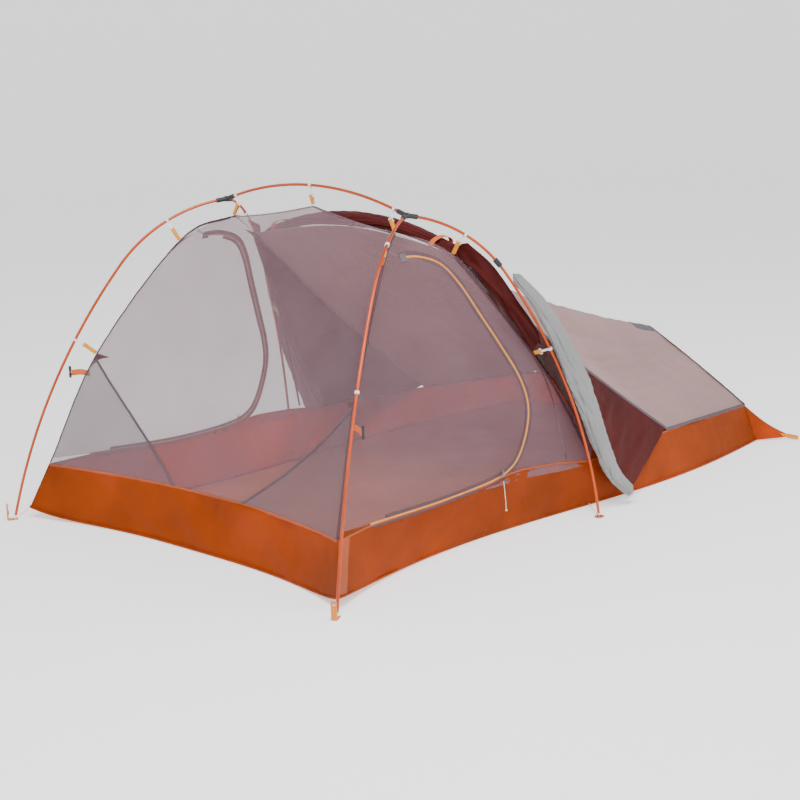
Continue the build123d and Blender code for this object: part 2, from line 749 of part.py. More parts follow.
def roof_point(t, v):
    """Foot roof: t from front to foot, v from the right edge over the ridge to the left."""
    x = mix(MESH_REAR_HIGH[0] + 4, WALL_FOOT_TOP[0], t)
    edge = roof_low_edge(x, right if v < 0 else left)
    far = (APEX[0] - WALL_FOOT_TOP[0]) * (1 - abs(v)) * t**4
    sag = 14 * math.sin(math.pi * abs(v)) * math.sin(math.pi * t)
    arch = 1 - abs(v) ** mix(1.7, 1.0, min(t * 2, 1))
    top = roof_ridge(x + far)
    return Vector(x + far, edge.Y * abs(v), mix(edge.Z, top, arch) - sag)


def foot_roof():
    grid = [[roof_point(t, v) for v in steps(12, -0.985, 0.985)] for t in steps(16, 0.0, 0.995)]
    return sheet_solid([[p + Vector(0, 0, 3) for p in row] for row in grid])


def side_panel(side):
    """Solid panel between the rear seam, the roof's side seam and the ground."""
    front = [vec(MESH_REAR_HIGH, side), vec(MESH_REAR_LOW, side),
             Vector(1312, side * 640, 190), Vector(1440, side * 652, 24)]
    back = [vec(MESH_REAR_HIGH, side), roof_low_edge(1180, side), roof_low_edge(1500, side),
            vec(WALL_ROOF_TOP, side)]
    away = Vector(14, side * 6, -4)
    grid = []
    for t in steps(8, 0.09, 0.985):
        a, b = through(front, t) + away, through(back, t) + Vector(0, side * 5, -6)
        grid.append([mix(a, b, s) for s in steps(4)])
    return sheet_solid(grid)


def fly_over_points(side):
    """Middle line of the rolled fly from the crown down inside one rear leg."""
    return [Vector(868, 0, 948), Vector(872, side * 190, 936), Vector(878, side * 370, 893),
            Vector(905, side * 478, 838), Vector(965, side * 528, 755), Vector(1022, side * 572, 662),
            Vector(1064, side * 606, 575)]


def ring_about(spot, ahead, wide, half_width, half_height, count=10):
    """A flattened ring of points square to a heading."""
    high = ahead.cross(wide).normalized()
    flat = high.cross(ahead).normalized()
    ring = []
    for k in range(count):
        a = 2 * math.pi * k / count
        ring.append(spot + flat * (half_width * math.cos(a)) + high * (half_height * math.sin(a)))
    return ring


def bundle(points, sizes, wide, stations=14):
    """A soft bundle along a smooth line, with its half width and half height at each end."""
    rings = []
    for t in steps(stations):
        spot = through(points, t)
        ahead = through(points, min(t + 0.01, 1)) - through(points, max(t - 0.01, 0))
        size = through(sizes, t)
        rings.append(ring_about(spot, ahead.normalized(), wide, size.X, size.Y))
    return bundle_solid(rings)


def fly_over():
    """The rolled vestibule, one soft bundle from one rear leg over the top to the other."""
    line = fly_over_points(right)[::-1] + fly_over_points(left)[1:]
    full = Vector(ROLL_HALF_WIDTH, ROLL_HALF_HEIGHT, 0)
    thin = Vector(16, 12, 0)
    sizes = [thin, full * 0.8, full, full, full, full * 0.8, thin]
    return bundle(line, sizes, Vector(1, 0, 0), 24)


def fly_drop_points(side):
    """Middle line of the fly's body, hanging outside behind one rear leg to the ground."""
    return [Vector(986, side * 556, 806), Vector(1056, side * 608, 702), Vector(1125, side * 645, 560),
            Vector(1195, side * 668, 410), Vector(1252, side * 680, 268), Vector(1330, side * 690, 120),
            Vector(1420, side * 702, 36)]


def fly_drop(side):
    sizes = [Vector(15, 10, 0), Vector(46, 20, 0), Vector(52, 20, 0), Vector(44, 20, 0),
             Vector(42, 20, 0), Vector(38, 18, 0), Vector(22, 14, 0)]
    return bundle(fly_drop_points(side), sizes, Vector(1, 0, -0.3), 16)


# --- stake-out corners, strut, wraps and ties -------------------------------------------
STAKE_TIP = (2478.0, 626.0, 15.0)     # where the corner's webbing starts
STAKE_END = (2502.0, 664.0, 4.0)


def corner_gusset(side):
    """Triangle of floor cloth from the foot corner's wall out to its webbing."""
    top = vec(WALL_FOOT_TOP, side) + Vector(5, side * 3, -4)
    low = Vector(FOOT_CORNER_X + 8, side * (FOOT_CORNER_Y + 6), 4)
    tip = vec(STAKE_TIP, side)
    rows = []
    for t in steps(4):
        upper = mix(top, tip + Vector(0, 0, 5), t)
        lower = mix(low, tip - Vector(0, 0, 7), t)
        rows.append([upper, lower])
    return sheet_solid(rows)


def stake_loop(side):
    """Flat loop of webbing, open in the middle for a stake."""
    tip, end = vec(STAKE_TIP, side), vec(STAKE_END, side)
    along = (end - tip).normalized()
    flat = along.cross(Vector(0, 0, 1)).normalized()
    middle = mix(tip, end, 0.5) + along * 4
    frame = Plane(origin=middle, x_dir=along, z_dir=along.cross(flat))
    length = (end - tip).length
    return frame * (Box(length, 20, 2.4) - Pos(5, 0, 0) * Box(length - 20, 13, 10))


def foot_strut():
    """Short strut that stands on the floor and lifts the apex."""
    low, high = Vector(2430, 0, SHEET + 2.5), Vector(2467, 0, 338)
    along = (high - low).normalized()
    frame = Plane(origin=low, z_dir=along)
    length = (high - low).length
    ends = [frame * Pos(0, 0, z) * Sphere(5) for z in (4.0, length - 5)]
    return frame * Cylinder(3.5, length - 4, align=(Align.CENTER, Align.CENTER, Align.MIN)) + ends


WRAP_PART = 0.90            # where the fly's wrap grips the rear leg's upper stretch
WRAP_WIDTH = 28.0


def pole_wrap(side):
    """Hook-and-loop wrap round the rear leg, holding the fly to it."""
    spot, heading = leg_point(REAR_LEG, side, 0, WRAP_PART)
    frame = Plane(origin=spot, z_dir=heading)
    sleeve = frame * Cylinder(POLE_R + 3.2, WRAP_WIDTH)
    return sleeve - frame * Cylinder(POLE_R + 0.2, WRAP_WIDTH + 4)


TAB_BASE = (222.0, 602.0, 470.0)
TAB_OUT = (-0.33, 0.944, 0.0)
TAB_LENGTH = 66.0
TAB_WIDTH = 20.0


def door_tab(side):
    """Stiff tab beside the door, standing out from the seam past the pole."""
    base, out = vec(TAB_BASE, side), vec(TAB_OUT, side)
    half = Vector(0, 0, TAB_WIDTH / 2)
    grid = [[base + out * d - half, base + out * d + half] for d in (9.0, TAB_LENGTH)]
    return sheet_solid(grid, 1.6)


def door_toggle(side):
    """Barrel toggle at the end of the tab, upright, with a waist for its loop."""
    spot = vec(TAB_BASE, side) + vec(TAB_OUT, side) * (TAB_LENGTH + 5.5)
    barrel = Pos(*spot) * Cylinder(4.2, 38)
    waist = Pos(*spot) * (Cylinder(6, 8) - Cylinder(3.2, 8))
    return barrel - waist


def fly_tie(side):
    """Band of the same cloth tape over the rolled fly, near each hub."""
    line = fly_over_points(side)
    spot = mix(line[1], line[2], 0.93)
    ahead = (line[2] - line[1]).normalized()
    rows = []
    for offset in (-9.0, 9.0):
        high = ahead.cross(Vector(1, 0, 0)) * -side
        row = []
        for angle in steps(12, math.radians(-15), math.radians(195)):
            wide = Vector(1, 0, 0) * ((ROLL_HALF_WIDTH + 5) * math.cos(angle))
            row.append(spot + ahead * offset + wide + high * ((ROLL_HALF_HEIGHT + 5) * math.sin(angle)))
        rows.append(row)
    return sheet_solid(rows, 1.6)


def main():
    os.makedirs("parts", exist_ok=True)
    for side, name in ((right, "right"), (left, "left")):
        save("ridge_pole_" + name, ridge_half(side))
        for leg, end in ((HEAD_LEG, "head"), (REAR_LEG, "rear")):
            save("leg_" + end + "_" + name + "_upper", leg_upper(leg, side))
            save("leg_" + end + "_" + name + "_lower", leg_lower(leg, side))
        save("hub_" + name, hub(side))
        save("foot_head_" + name, head_foot(side))
        save("foot_rear_" + name, rear_foot(side))
        save("cord_rear_" + name, tie_cord(rear_cord_points(side)))
        save("cord_head_" + name, tie_cord(head_cord_points(side)))
        save("wall_" + name, side_wall(side))
        save("mesh_side_" + name, side_mesh(side))
        save("door_" + name, door(side))
        save("zip_track_" + name, zip_track(side))
        save("slider_" + name, slider(side))
        save("pull_cord_" + name, pull_cord(side))
        save("side_panel_" + name, side_panel(side))
        save("fly_drop_" + name, fly_drop(side))
        save("door_toggle_" + name, door_toggle(side))
    save("pole_ferrules", ferrules())
    save("shock_cords", shock_cords())
    save("pole_tips", pole_tips())
    for place, sites in clip_sites().items():
        save(place + "_clips", group(clip(site) for site in sites))
        save(place + "_straps", group(strap(site) for site in sites))
    save("floor_sheet", floor_sheet())
    save("wall_head", head_wall())
    save("wall_foot", foot_wall())
    save("foot_end_panel", foot_end_panel())
    save("mesh_head", head_mesh())
    save("mesh_roof", roof_mesh())
    save("foot_roof", foot_roof())
    save("fly_over", fly_over())
    save("foot_strut", foot_strut())
    save("corner_gussets", group(corner_gusset(side) for side in (right, left)))
    save("stake_loops", group(stake_loop(side) for side in (right, left)))
    save("pole_wraps", group(pole_wrap(side) for side in (right, left)))
    save("tie_tabs", group(make(side) for make in (door_tab, fly_tie) for side in (right, left)))


main()
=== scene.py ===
import bmesh
import bpy
import math
import numpy as np
from mathutils import Matrix, Vector


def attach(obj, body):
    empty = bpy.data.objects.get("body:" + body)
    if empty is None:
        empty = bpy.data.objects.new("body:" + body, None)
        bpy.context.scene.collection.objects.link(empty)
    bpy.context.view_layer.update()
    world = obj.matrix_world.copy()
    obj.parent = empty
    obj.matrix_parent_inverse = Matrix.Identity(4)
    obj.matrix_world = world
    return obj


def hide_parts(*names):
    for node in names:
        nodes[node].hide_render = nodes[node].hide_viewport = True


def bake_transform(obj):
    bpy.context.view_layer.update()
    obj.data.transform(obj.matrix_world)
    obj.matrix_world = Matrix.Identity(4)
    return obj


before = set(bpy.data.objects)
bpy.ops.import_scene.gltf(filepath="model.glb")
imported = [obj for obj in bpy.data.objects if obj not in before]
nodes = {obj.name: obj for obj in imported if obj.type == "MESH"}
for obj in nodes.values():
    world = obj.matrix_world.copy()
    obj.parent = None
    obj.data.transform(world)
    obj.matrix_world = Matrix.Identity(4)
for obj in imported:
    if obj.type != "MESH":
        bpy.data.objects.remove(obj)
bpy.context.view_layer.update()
TENT = "pitched_tent"
SIDES = (("right", -1.0), ("left", 1.0))

# --- Camera ---------------------------------------------------------------------------
# A long lens from the head end and the right, a little above the tent, looking slightly
# down at it.
camera = bpy.data.objects.new("camera", bpy.data.cameras.new("camera"))
bpy.context.scene.collection.objects.link(camera)
yaw, pitch, roll = 0.75905, 0.22198, -0.02085
ahead = Vector((math.cos(pitch) * math.cos(yaw), math.cos(pitch) * math.sin(yaw), -math.sin(pitch)))
rightward = ahead.cross(Vector((0, 0, 1))).normalized()
upward = rightward.cross(ahead)
level = rightward * math.cos(roll) + upward * math.sin(roll)
plumb = upward * math.cos(roll) - rightward * math.sin(roll)
camera.matrix_world = Matrix((level, plumb, -ahead)).transposed().to_4x4()
camera.location = (-4.5653, -4.15421, 1.67871)
camera.data.lens = 82.592
camera.data.sensor_width = 36.0
camera.data.clip_end = 60.0
bpy.context.scene.camera = camera

# --- Ground and light -----------------------------------------------------------------
# A pale seamless sheet that lies flat under the tent and rises far behind it, with one big
# soft lamp high on the head side, one low fill and an even bright surround.
SHEET_WHITE = (0.88, 0.88, 0.88)


def grid_mesh(name, points, uv=None, loop_round=False):
    """Mesh over a grid of points: each cell between neighbouring rows and columns is one face.
    With loop_round the last column joins the first."""
    rows, cols = points.shape[:2]
    number = np.arange(rows * cols).reshape(rows, cols)
    if loop_round:
        number = np.concatenate([number, number[:, :1]], 1)
    cells = [number[:-1, :-1], number[1:, :-1], number[1:, 1:], number[:-1, 1:]]
    corners = np.stack([c.ravel() for c in cells], -1)
    mesh = bpy.data.meshes.new(name)
    mesh.from_pydata(points.reshape(-1, 3).tolist(), [], corners.tolist())
    if uv is None:
        uv = arc_lengths(points)
    sides = [uv[:-1, :-1], uv[1:, :-1], uv[1:, 1:], uv[:-1, 1:]]
    if loop_round:
        wide = np.concatenate([uv, uv[:, :1] + [[[uv[0, -1, 0] * cols / (cols - 1), 0]]]], 1)
        sides = [wide[:-1, :-1], wide[1:, :-1], wide[1:, 1:], wide[:-1, 1:]]
    layer = mesh.uv_layers.new(name="cut")
    layer.data.foreach_set("uv", np.stack([s.reshape(-1, 2) for s in sides], 1).astype(np.float32).ravel())
    mesh.polygons.foreach_set("use_smooth", np.ones(len(mesh.polygons), bool))
    mesh.update()
    return mesh


def arc_lengths(points):
    """Metres across and along the cloth at each grid point: the running sum of the steps."""
    across = np.zeros(points.shape[:2])
    along = np.zeros(points.shape[:2])
    across[:, 1:] = np.cumsum(np.linalg.norm(np.diff(points, axis=1), axis=-1), 1)
    along[1:] = np.cumsum(np.linalg.norm(np.diff(points, axis=0), axis=-1), 0)
    return np.stack([across - across.mean(1, keepdims=True), along], -1)


def link(name, mesh):
    piece = bpy.data.objects.new(name, mesh)
    bpy.context.scene.collection.objects.link(piece)
    return piece


def node(material, kind, **values):
    """One shader node with its plain properties set."""
    made = material.node_tree.nodes.new("ShaderNode" + kind)
    for key, value in values.items():
        setattr(made, key, value)
    return made


def new_finish(name, colour, rough, metal=0.0):
    """A material with one Principled shader and its constant values."""
    material = bpy.data.materials.new(name)
    material.use_nodes = True
    shader = material.node_tree.nodes["Principled BSDF"]
    shader.inputs["Base Color"].default_value = (*colour, 1)
    shader.inputs["Roughness"].default_value = rough
    shader.inputs["Metallic"].default_value = metal
    return material, shader


def seamless_floor():
    """Floor for 8 m round the tent, then a quarter circle of 6 m radius up to a wall."""
    angle = np.linspace(0, 2 * np.pi, 97)[:, None]
    reach = np.concatenate([np.linspace(0.0, 15.0, 16), 15 + 6 * np.sin(np.linspace(0.1, 1.57, 12)), [21.0]])
    rise = np.concatenate([np.zeros(16), 6 - 6 * np.cos(np.linspace(0.1, 1.57, 12)), [16.0]])
    x, y = reach * np.cos(angle), reach * np.sin(angle)
    return np.stack([x, y, np.broadcast_to(rise, x.shape) - 0.001], -1)


floor = link("studio_floor", grid_mesh("studio_floor", seamless_floor()))
white, glow = new_finish("studio_white", SHEET_WHITE, 0.9)
glow.inputs["Emission Color"].default_value = (1, 1, 1, 1)
glow.inputs["Emission Strength"].default_value = 0.55
floor.data.materials.append(white)

world = bpy.data.worlds.new("surround")
bpy.context.scene.world = world
world.use_nodes = True
world.node_tree.nodes["Background"].inputs["Color"].default_value = (1.0, 1.0, 1.0, 1)
world.node_tree.nodes["Background"].inputs["Strength"].default_value = 0.42


def lamp(name, place, target, size, power):
    light = bpy.data.lights.new(name, "AREA")
    light.shape = "SQUARE"
    light.size = size
    light.energy = power
    made = link(name, light)
    made.location = place
    made.rotation_euler = (Vector(target) - Vector(place)).to_track_quat("-Z", "Y").to_euler()


lamp("key", (-2.6, -2.4, 5.0), (0, 0, 0.3), 3.0, 420)
lamp("fill", (3.4, -4.0, 2.4), (0.4, 0, 0.3), 3.0, 110)

# --- Tie cords ------------------------------------------------------------------------
# Thin braided cord holds the floor's corners to the feet: a short one at each head foot and
# a longer one from each rear cleat to the tab on the floor's edge.
TIE_CORD_R = 0.0012
SHIFT_X = -1.2418


def place(points):
    """Moves points from the head feet's origin to the tent's own middle."""
    return np.asarray(points, float) + [SHIFT_X, 0, 0]


def cord_between(start, end, drops):
    """Route of a short cord: even shares of the straight way, each lowered a little."""
    start, end = np.array(start), np.array(end)
    return [start + (end - start) * share + [0, 0, drop] for share, drop in drops]


def cord_curve(name, route, radius):
    """Round cord whose centre line is the smooth spline controlled by the route's points."""
    curve = bpy.data.curves.new(name, "CURVE")
    curve.dimensions = "3D"
    curve.bevel_depth = radius
    curve.bevel_resolution = 3
    curve.resolution_u = 10
    curve.use_fill_caps = True
    spline = curve.splines.new("NURBS")
    spline.points.add(len(route) - 1)
    spots = place(route)
    spline.points.foreach_set("co", np.concatenate([spots, np.ones((len(route), 1))], 1).ravel())
    spline.order_u = 3
    spline.use_endpoint_u = True
    return link(name, curve)


def braid_finish(name, colour):
    """Fine braid: one set of diagonal bands as bump, and a little soil in the colour."""
    material, shader = new_finish(name, colour, 0.8)
    coordinates = node(material, "TexCoord")
    bands = node(material, "TexWave", wave_type="BANDS", bands_direction="DIAGONAL")
    bands.inputs["Scale"].default_value = 180
    bands.inputs["Distortion"].default_value = 2
    bump = node(material, "Bump")
    bump.inputs["Strength"].default_value = 0.6
    bump.inputs["Distance"].default_value = 0.0004
    soil = node(material, "TexNoise")
    soil.inputs["Scale"].default_value = 60
    ramp = node(material, "ValToRGB")
    ramp.color_ramp.elements[0].color = (*[c * 0.72 for c in colour], 1)
    ramp.color_ramp.elements[1].color = (*colour, 1)
    links = material.node_tree.links
    links.new(coordinates.outputs["Object"], bands.inputs["Vector"])
    links.new(coordinates.outputs["Object"], soil.inputs["Vector"])
    links.new(bands.outputs["Fac"], bump.inputs["Height"])
    links.new(soil.outputs["Fac"], ramp.inputs["Fac"])
    links.new(ramp.outputs["Color"], shader.inputs["Base Color"])
    links.new(bump.outputs["Normal"], shader.inputs["Normal"])
    return material


tie_braid = braid_finish("tie_braid", (0.72, 0.58, 0.42))
for name, side in SIDES:
    rear = cord_between((1.2289, side * 0.7034, 0.005), (1.302, side * 0.61, 0.011),
                        ((0, 0), (0.3, -0.0014), (0.62, -0.002), (1, 0)))
    head = cord_between((0.006, side * 0.736, 0.014), (0.034, side * 0.719, 0.031),
                        ((0, 0), (0.5, -0.0009), (1, 0)))
    for end, route in (("rear", rear), ("head", head)):
        piece = cord_curve(f"tie_{end}_{name}", route, TIE_CORD_R)
        piece.data.materials.append(tie_braid)
        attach(piece, TENT)
        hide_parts(f"cord_{end}_{name}")

# --- Zip pull cords -------------------------------------------------------------------
# A pale cord hangs from each slider's pull and ends in a knot. It rides with the slider.
PULL_CORD_R = 0.0011
SLIDER_X, SLIDER_Z = 0.868, 0.196
ARCH = np.array([(0.675, 0.150), (0.583, 0.540), (0.453, 0.878), (0.364, 0.954)])


def smooth_line(points, t):
    """Point at share t of a line's summed chords: on each chord a cubic whose slope at an end
    is half the step between that end's two neighbours."""
    p = np.asarray(points, float)
    chords = np.linalg.norm(np.diff(p, axis=0), axis=1)
    ends = np.concatenate([[0], np.cumsum(chords)])
    target = np.clip(np.asarray(t, float), 0, 1) * ends[-1]
    k = np.clip(np.searchsorted(ends, target, side="left") - 1, 0, len(chords) - 1)
    s = ((target - ends[k]) / chords[k])[..., None]
    ext = np.concatenate([[2 * p[0] - p[1]], p, [2 * p[-1] - p[-2]]])
    w, a, b, z = ext[k], ext[k + 1], ext[k + 2], ext[k + 3]
    cubic = a * 2 + (b - w) * s + (w * 2 - a * 5 + b * 4 - z) * s**2 + (a * 3 - w - b * 3 + z) * s**3
    return cubic * 0.5


ARCH_LINE = smooth_line(ARCH, np.linspace(0, 1, 400))


def side_half_width(x, z):
    """Half width of the long sides: an arch in z, drawn in low down beside the floor and
    hollowed by a shallow sine both ways."""
    arch = np.interp(z, ARCH_LINE[:, 1], ARCH_LINE[:, 0])
    along = np.clip((x - 0.092) / (1.290 - 0.092), 0, 1)
    low = np.maximum(1 - (z - 0.150) / 0.400, 0) ** 2
    pulled = 0.049 * along + 0.050 * np.sin(np.pi * along)
    belly = 0.016 * np.sin(np.pi * along) * np.sin(np.pi * np.clip((z - 0.150) / 0.800, 0, 1))
    return arch - pulled * low - belly


def side_point(x, z, side):
    return np.stack(np.broadcast_arrays(x, side * side_half_width(x, z), z), -1)


def knot_shape(middle, radius):
    """Overhand knot: a fat line that goes twice round the long way and three times through,
    carried by a small round section."""
    t = np.linspace(0, 2 * np.pi, 40, endpoint=False)
    ring = radius * (0.62 + 0.30 * np.cos(3 * t))
    line = np.stack([ring * np.cos(2 * t), ring * np.sin(2 * t), radius * 0.62 * np.sin(3 * t)], -1)
    return tube_round(np.concatenate([line, line[:1]]) + middle, PULL_CORD_R * 0.95, 8)


def tube_round(line, radius, count, squeeze=1.0):
    """Rings square to a line: each ring is the line's point plus radius times a circle laid
    on two directions that stay square to the line."""
    ahead = np.gradient(line, axis=0)
    ahead /= np.linalg.norm(ahead, axis=1, keepdims=True)
    guide = np.where(np.abs(ahead[:, 2:]) < 0.9, [[0, 0, 1.0]], [[1.0, 0, 0]])
    wide = np.cross(ahead, guide)
    wide /= np.linalg.norm(wide, axis=1, keepdims=True)
    high = np.cross(wide, ahead)
    angle = np.linspace(0, 2 * np.pi, count, endpoint=False)[None, :, None]
    radius = np.broadcast_to(radius, (len(line),))[:, None, None]
    return line[:, None] + radius * (wide[:, None] * np.cos(angle) + squeeze * high[:, None] * np.sin(angle))


pull_braid = braid_finish("pull_braid", (0.80, 0.72, 0.58))
for name, side in SIDES:
    top = side_point(SLIDER_X, SLIDER_Z, side) + [0, side * 0.0102, -0.0185]
    hang = ((0, 0, 0), (0.002, 0.0016, -0.020), (0.001, 0.0042, -0.042), (0.004, 0.005, -0.065),
            (0.003, 0.0074, -0.092))
    route = [top + [dx, side * dy, dz] for dx, dy, dz in hang]
    piece = cord_curve("pull_" + name, route, PULL_CORD_R)
    piece.data.materials.append(pull_braid)
    end_knot = knot_shape(place([route[-1]])[0], 0.0034)
    knot = link("pull_knot_" + name, grid_mesh("knot", end_knot, loop_round=True))
    knot.data.materials.append(pull_braid)
    for made in (piece, knot):
        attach(made, "slider_" + name)
    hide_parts("pull_cord_" + name)

# --- Poles and hubs -------------------------------------------------------------------
# Orange anodised aluminium tube in short sections, sprung over the tent between moulded hubs
# and standing on pale tips. The sections join over bright ferrules on elastic cord.
POLE_ORANGE = (0.52, 0.052, 0.004)


def anodised_finish():
    """Dyed anodising on drawn tube: fine draw lines in the roughness and a faint uneven dye."""
    material, shader = new_finish("anodised_orange", POLE_ORANGE, 0.34, 0.55)
    coordinates = node(material, "TexCoord")
    dye = node(material, "TexNoise")
    dye.inputs["Scale"].default_value = 14
    grain = node(material, "TexNoise")
    grain.inputs["Scale"].default_value = 900
    tint = node(material, "ValToRGB")
    tint.color_ramp.elements[0].color = (0.38, 0.040, 0.006, 1)
    tint.color_ramp.elements[1].color = (0.58, 0.085, 0.012, 1)
    spread = node(material, "MapRange")
    spread.inputs["To Min"].default_value = 0.26
    spread.inputs["To Max"].default_value = 0.44
    links = material.node_tree.links
    for texture in (dye, grain):
        links.new(coordinates.outputs["Object"], texture.inputs["Vector"])
    links.new(dye.outputs["Fac"], tint.inputs["Fac"])
    links.new(tint.outputs["Color"], shader.inputs["Base Color"])
    links.new(grain.outputs["Fac"], spread.inputs["Value"])
    links.new(spread.outputs["Result"], shader.inputs["Roughness"])
    return material


def moulded_finish(name, colour, rough, pits=0.0002, alpha=1.0):
    """Moulded plastic: fine sandblast pits as bump and a small drift in colour."""
    material, shader = new_finish(name, colour, rough)
    shader.inputs["Alpha"].default_value = alpha
    coordinates = node(material, "TexCoord")
    pitting = node(material, "TexNoise")
    pitting.inputs["Scale"].default_value = 1100
    bump = node(material, "Bump")
    bump.inputs["Strength"].default_value = 0.35
    bump.inputs["Distance"].default_value = pits
    scuffs = node(material, "TexNoise")
    scuffs.inputs["Scale"].default_value = 90
    tint = node(material, "ValToRGB")
    tint.color_ramp.elements[0].color = (*[c * 0.8 for c in colour], 1)
    tint.color_ramp.elements[1].color = (*[min(c * 1.12 + 0.01, 1) for c in colour], 1)
    links = material.node_tree.links
    for texture in (pitting, scuffs):
        links.new(coordinates.outputs["Object"], texture.inputs["Vector"])
    links.new(pitting.outputs["Fac"], bump.inputs["Height"])
    links.new(scuffs.outputs["Fac"], tint.inputs["Fac"])
    links.new(tint.outputs["Color"], shader.inputs["Base Color"])
    links.new(bump.outputs["Normal"], shader.inputs["Normal"])
    return material


def refinish(names, material):
    """Gives carried-over nodes their finish."""
    for key in names:
        nodes[key].data.materials.clear()
        nodes[key].data.materials.append(material)


anodised = anodised_finish()
black_nylon = moulded_finish("black_nylon", (0.010, 0.010, 0.012), 0.55)
bright_metal = moulded_finish("bright_metal", (0.72, 0.72, 0.74), 0.3)
refinish([key for key in nodes if key.startswith(("leg_", "ridge_pole"))], anodised)
refinish(["hub_right", "hub_left"], black_nylon)
refinish(["pole_tips"], moulded_finish("tip_nylon", (0.86, 0.84, 0.80), 0.4))
refinish(["foot_head_right", "foot_head_left"], moulded_finish("foot_yellow", (0.62, 0.18, 0.006), 0.45))
refinish(["foot_rear_right", "foot_rear_left"], moulded_finish("cleat_brown", (0.30, 0.07, 0.02), 0.5))
refinish(["pole_ferrules", "foot_strut"], bright_metal)
refinish(["shock_cords"], braid_finish("shock_braid", (0.8, 0.8, 0.8)))
refinish(["slider_right", "slider_left"], moulded_finish("slider_paint", (0.20, 0.17, 0.17), 0.35))
refinish(["door_toggle_right", "door_toggle_left"], black_nylon)

# --- Floor ----------------------------------------------------------------------------
# One piece of coated ripstop, cut to a lobed outline and pulled flat by its six ties. It lies
# on the ground and lifts only at the head corners, where the feet hold it.
FLOOR_ORANGE = (0.58, 0.105, 0.005)
CLOTH_THICK = 0.0006
TENT_MIDDLE = place([1.05, 0, 0.35])


def floor_half_width(x):
    """Half width: a flare at the head corner that dies as a fourth power, hollowed by a sine
    as far as the tie-out, then straight to the foot corner with a sine's fullness."""
    t = (x - 0.039) / (1.310 - 0.039)
    head = 0.600 + 0.115 * np.abs(1 - t) ** 4 - 0.035 * np.sin(np.pi * t)
    t = (x - 1.310) / (2.393 - 1.310)
    foot = 0.600 + (0.553 - 0.600) * t + 0.040 * np.sin(np.pi * t)
    return np.where(x < 1.310, head, foot)


def floor_point(t, v):
    """t runs from head to foot, v across. The head edge curves in, the foot edge out, and the
    head corners lift."""
    x = 0.039 + (2.393 - 0.039) * t
    head = 0.109 * (1 - np.abs(v) ** 3) * (1 - t) ** 3
    foot = 0.057 * (1 - v * v) * t**3
    lift = 0.035 * np.abs(v) ** 8 * (1 - t) ** 14
    return np.stack(np.broadcast_arrays(x + head + foot, v * floor_half_width(x), lift + 0.001), -1)


def waves(uv, length, seed, count=7, lean=None, stretch=1.0):
    """Smooth random relief from -1 to 1: the mean of several plane waves of about one length,
    with seeded headings and phases. With a lean the crests run near that heading."""
    pick = np.random.default_rng(seed)
    total = 0
    for _ in range(count):
        if lean is None:
            heading = pick.uniform(0, np.pi)
        else:
            heading = lean + np.pi / 2 + pick.normal(0, 0.16) * stretch
        size = length * pick.uniform(0.7, 1.5)
        step = uv[..., 0] * np.cos(heading) + uv[..., 1] * np.sin(heading)
        total = total + np.sin(2 * np.pi * step / size + pick.uniform(0, 2 * np.pi))
    return total / count**0.5 / 1.2


def creases(uv, length, seed, lean=None):
    """Sharp folds: the random relief turned to ridges where it crosses zero."""
    relief = waves(uv, length, seed, 5, lean)
    return np.exp(-np.abs(relief) * 5.0) - 0.25


def facing(points):
    """Unit normals of a grid, from its steps both ways."""
    normal = np.cross(np.gradient(points, axis=0), np.gradient(points, axis=1))
    return normal / np.maximum(np.linalg.norm(normal, axis=-1, keepdims=True), 1e-9)


def hem(rows, cols, power=0.5):
    """Falls from 1 in the middle of a grid to 0 at its four edges."""
    a = np.sin(np.pi * np.linspace(0, 1, rows))[:, None] ** power
    b = np.sin(np.pi * np.linspace(0, 1, cols))[None, :] ** power
    return a * b


def rumpled(points, relief):
    """Moves each point along its normal by the relief."""
    return points + facing(points) * relief[..., None]


def outward(points, inside):
    """Turns the grid round if its faces look towards a point inside the tent."""
    look = (facing(points) * (points - inside)).sum(-1).mean()
    return points if look > 0 else points[:, ::-1]


def panel(name, points, material, thick=CLOTH_THICK, inside=None, body=TENT):
    """A sewn panel: the grid as a mesh that faces out, with its cloth's real thickness."""
    points = outward(points, TENT_MIDDLE if inside is None else inside)
    piece = link(name, grid_mesh(name, points))
    piece.data.materials.append(material)
    if thick:
        wall = piece.modifiers.new("thickness", "SOLIDIFY")
        wall.thickness = thick
        wall.offset = 0
    if body:
        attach(piece, body)
    return piece


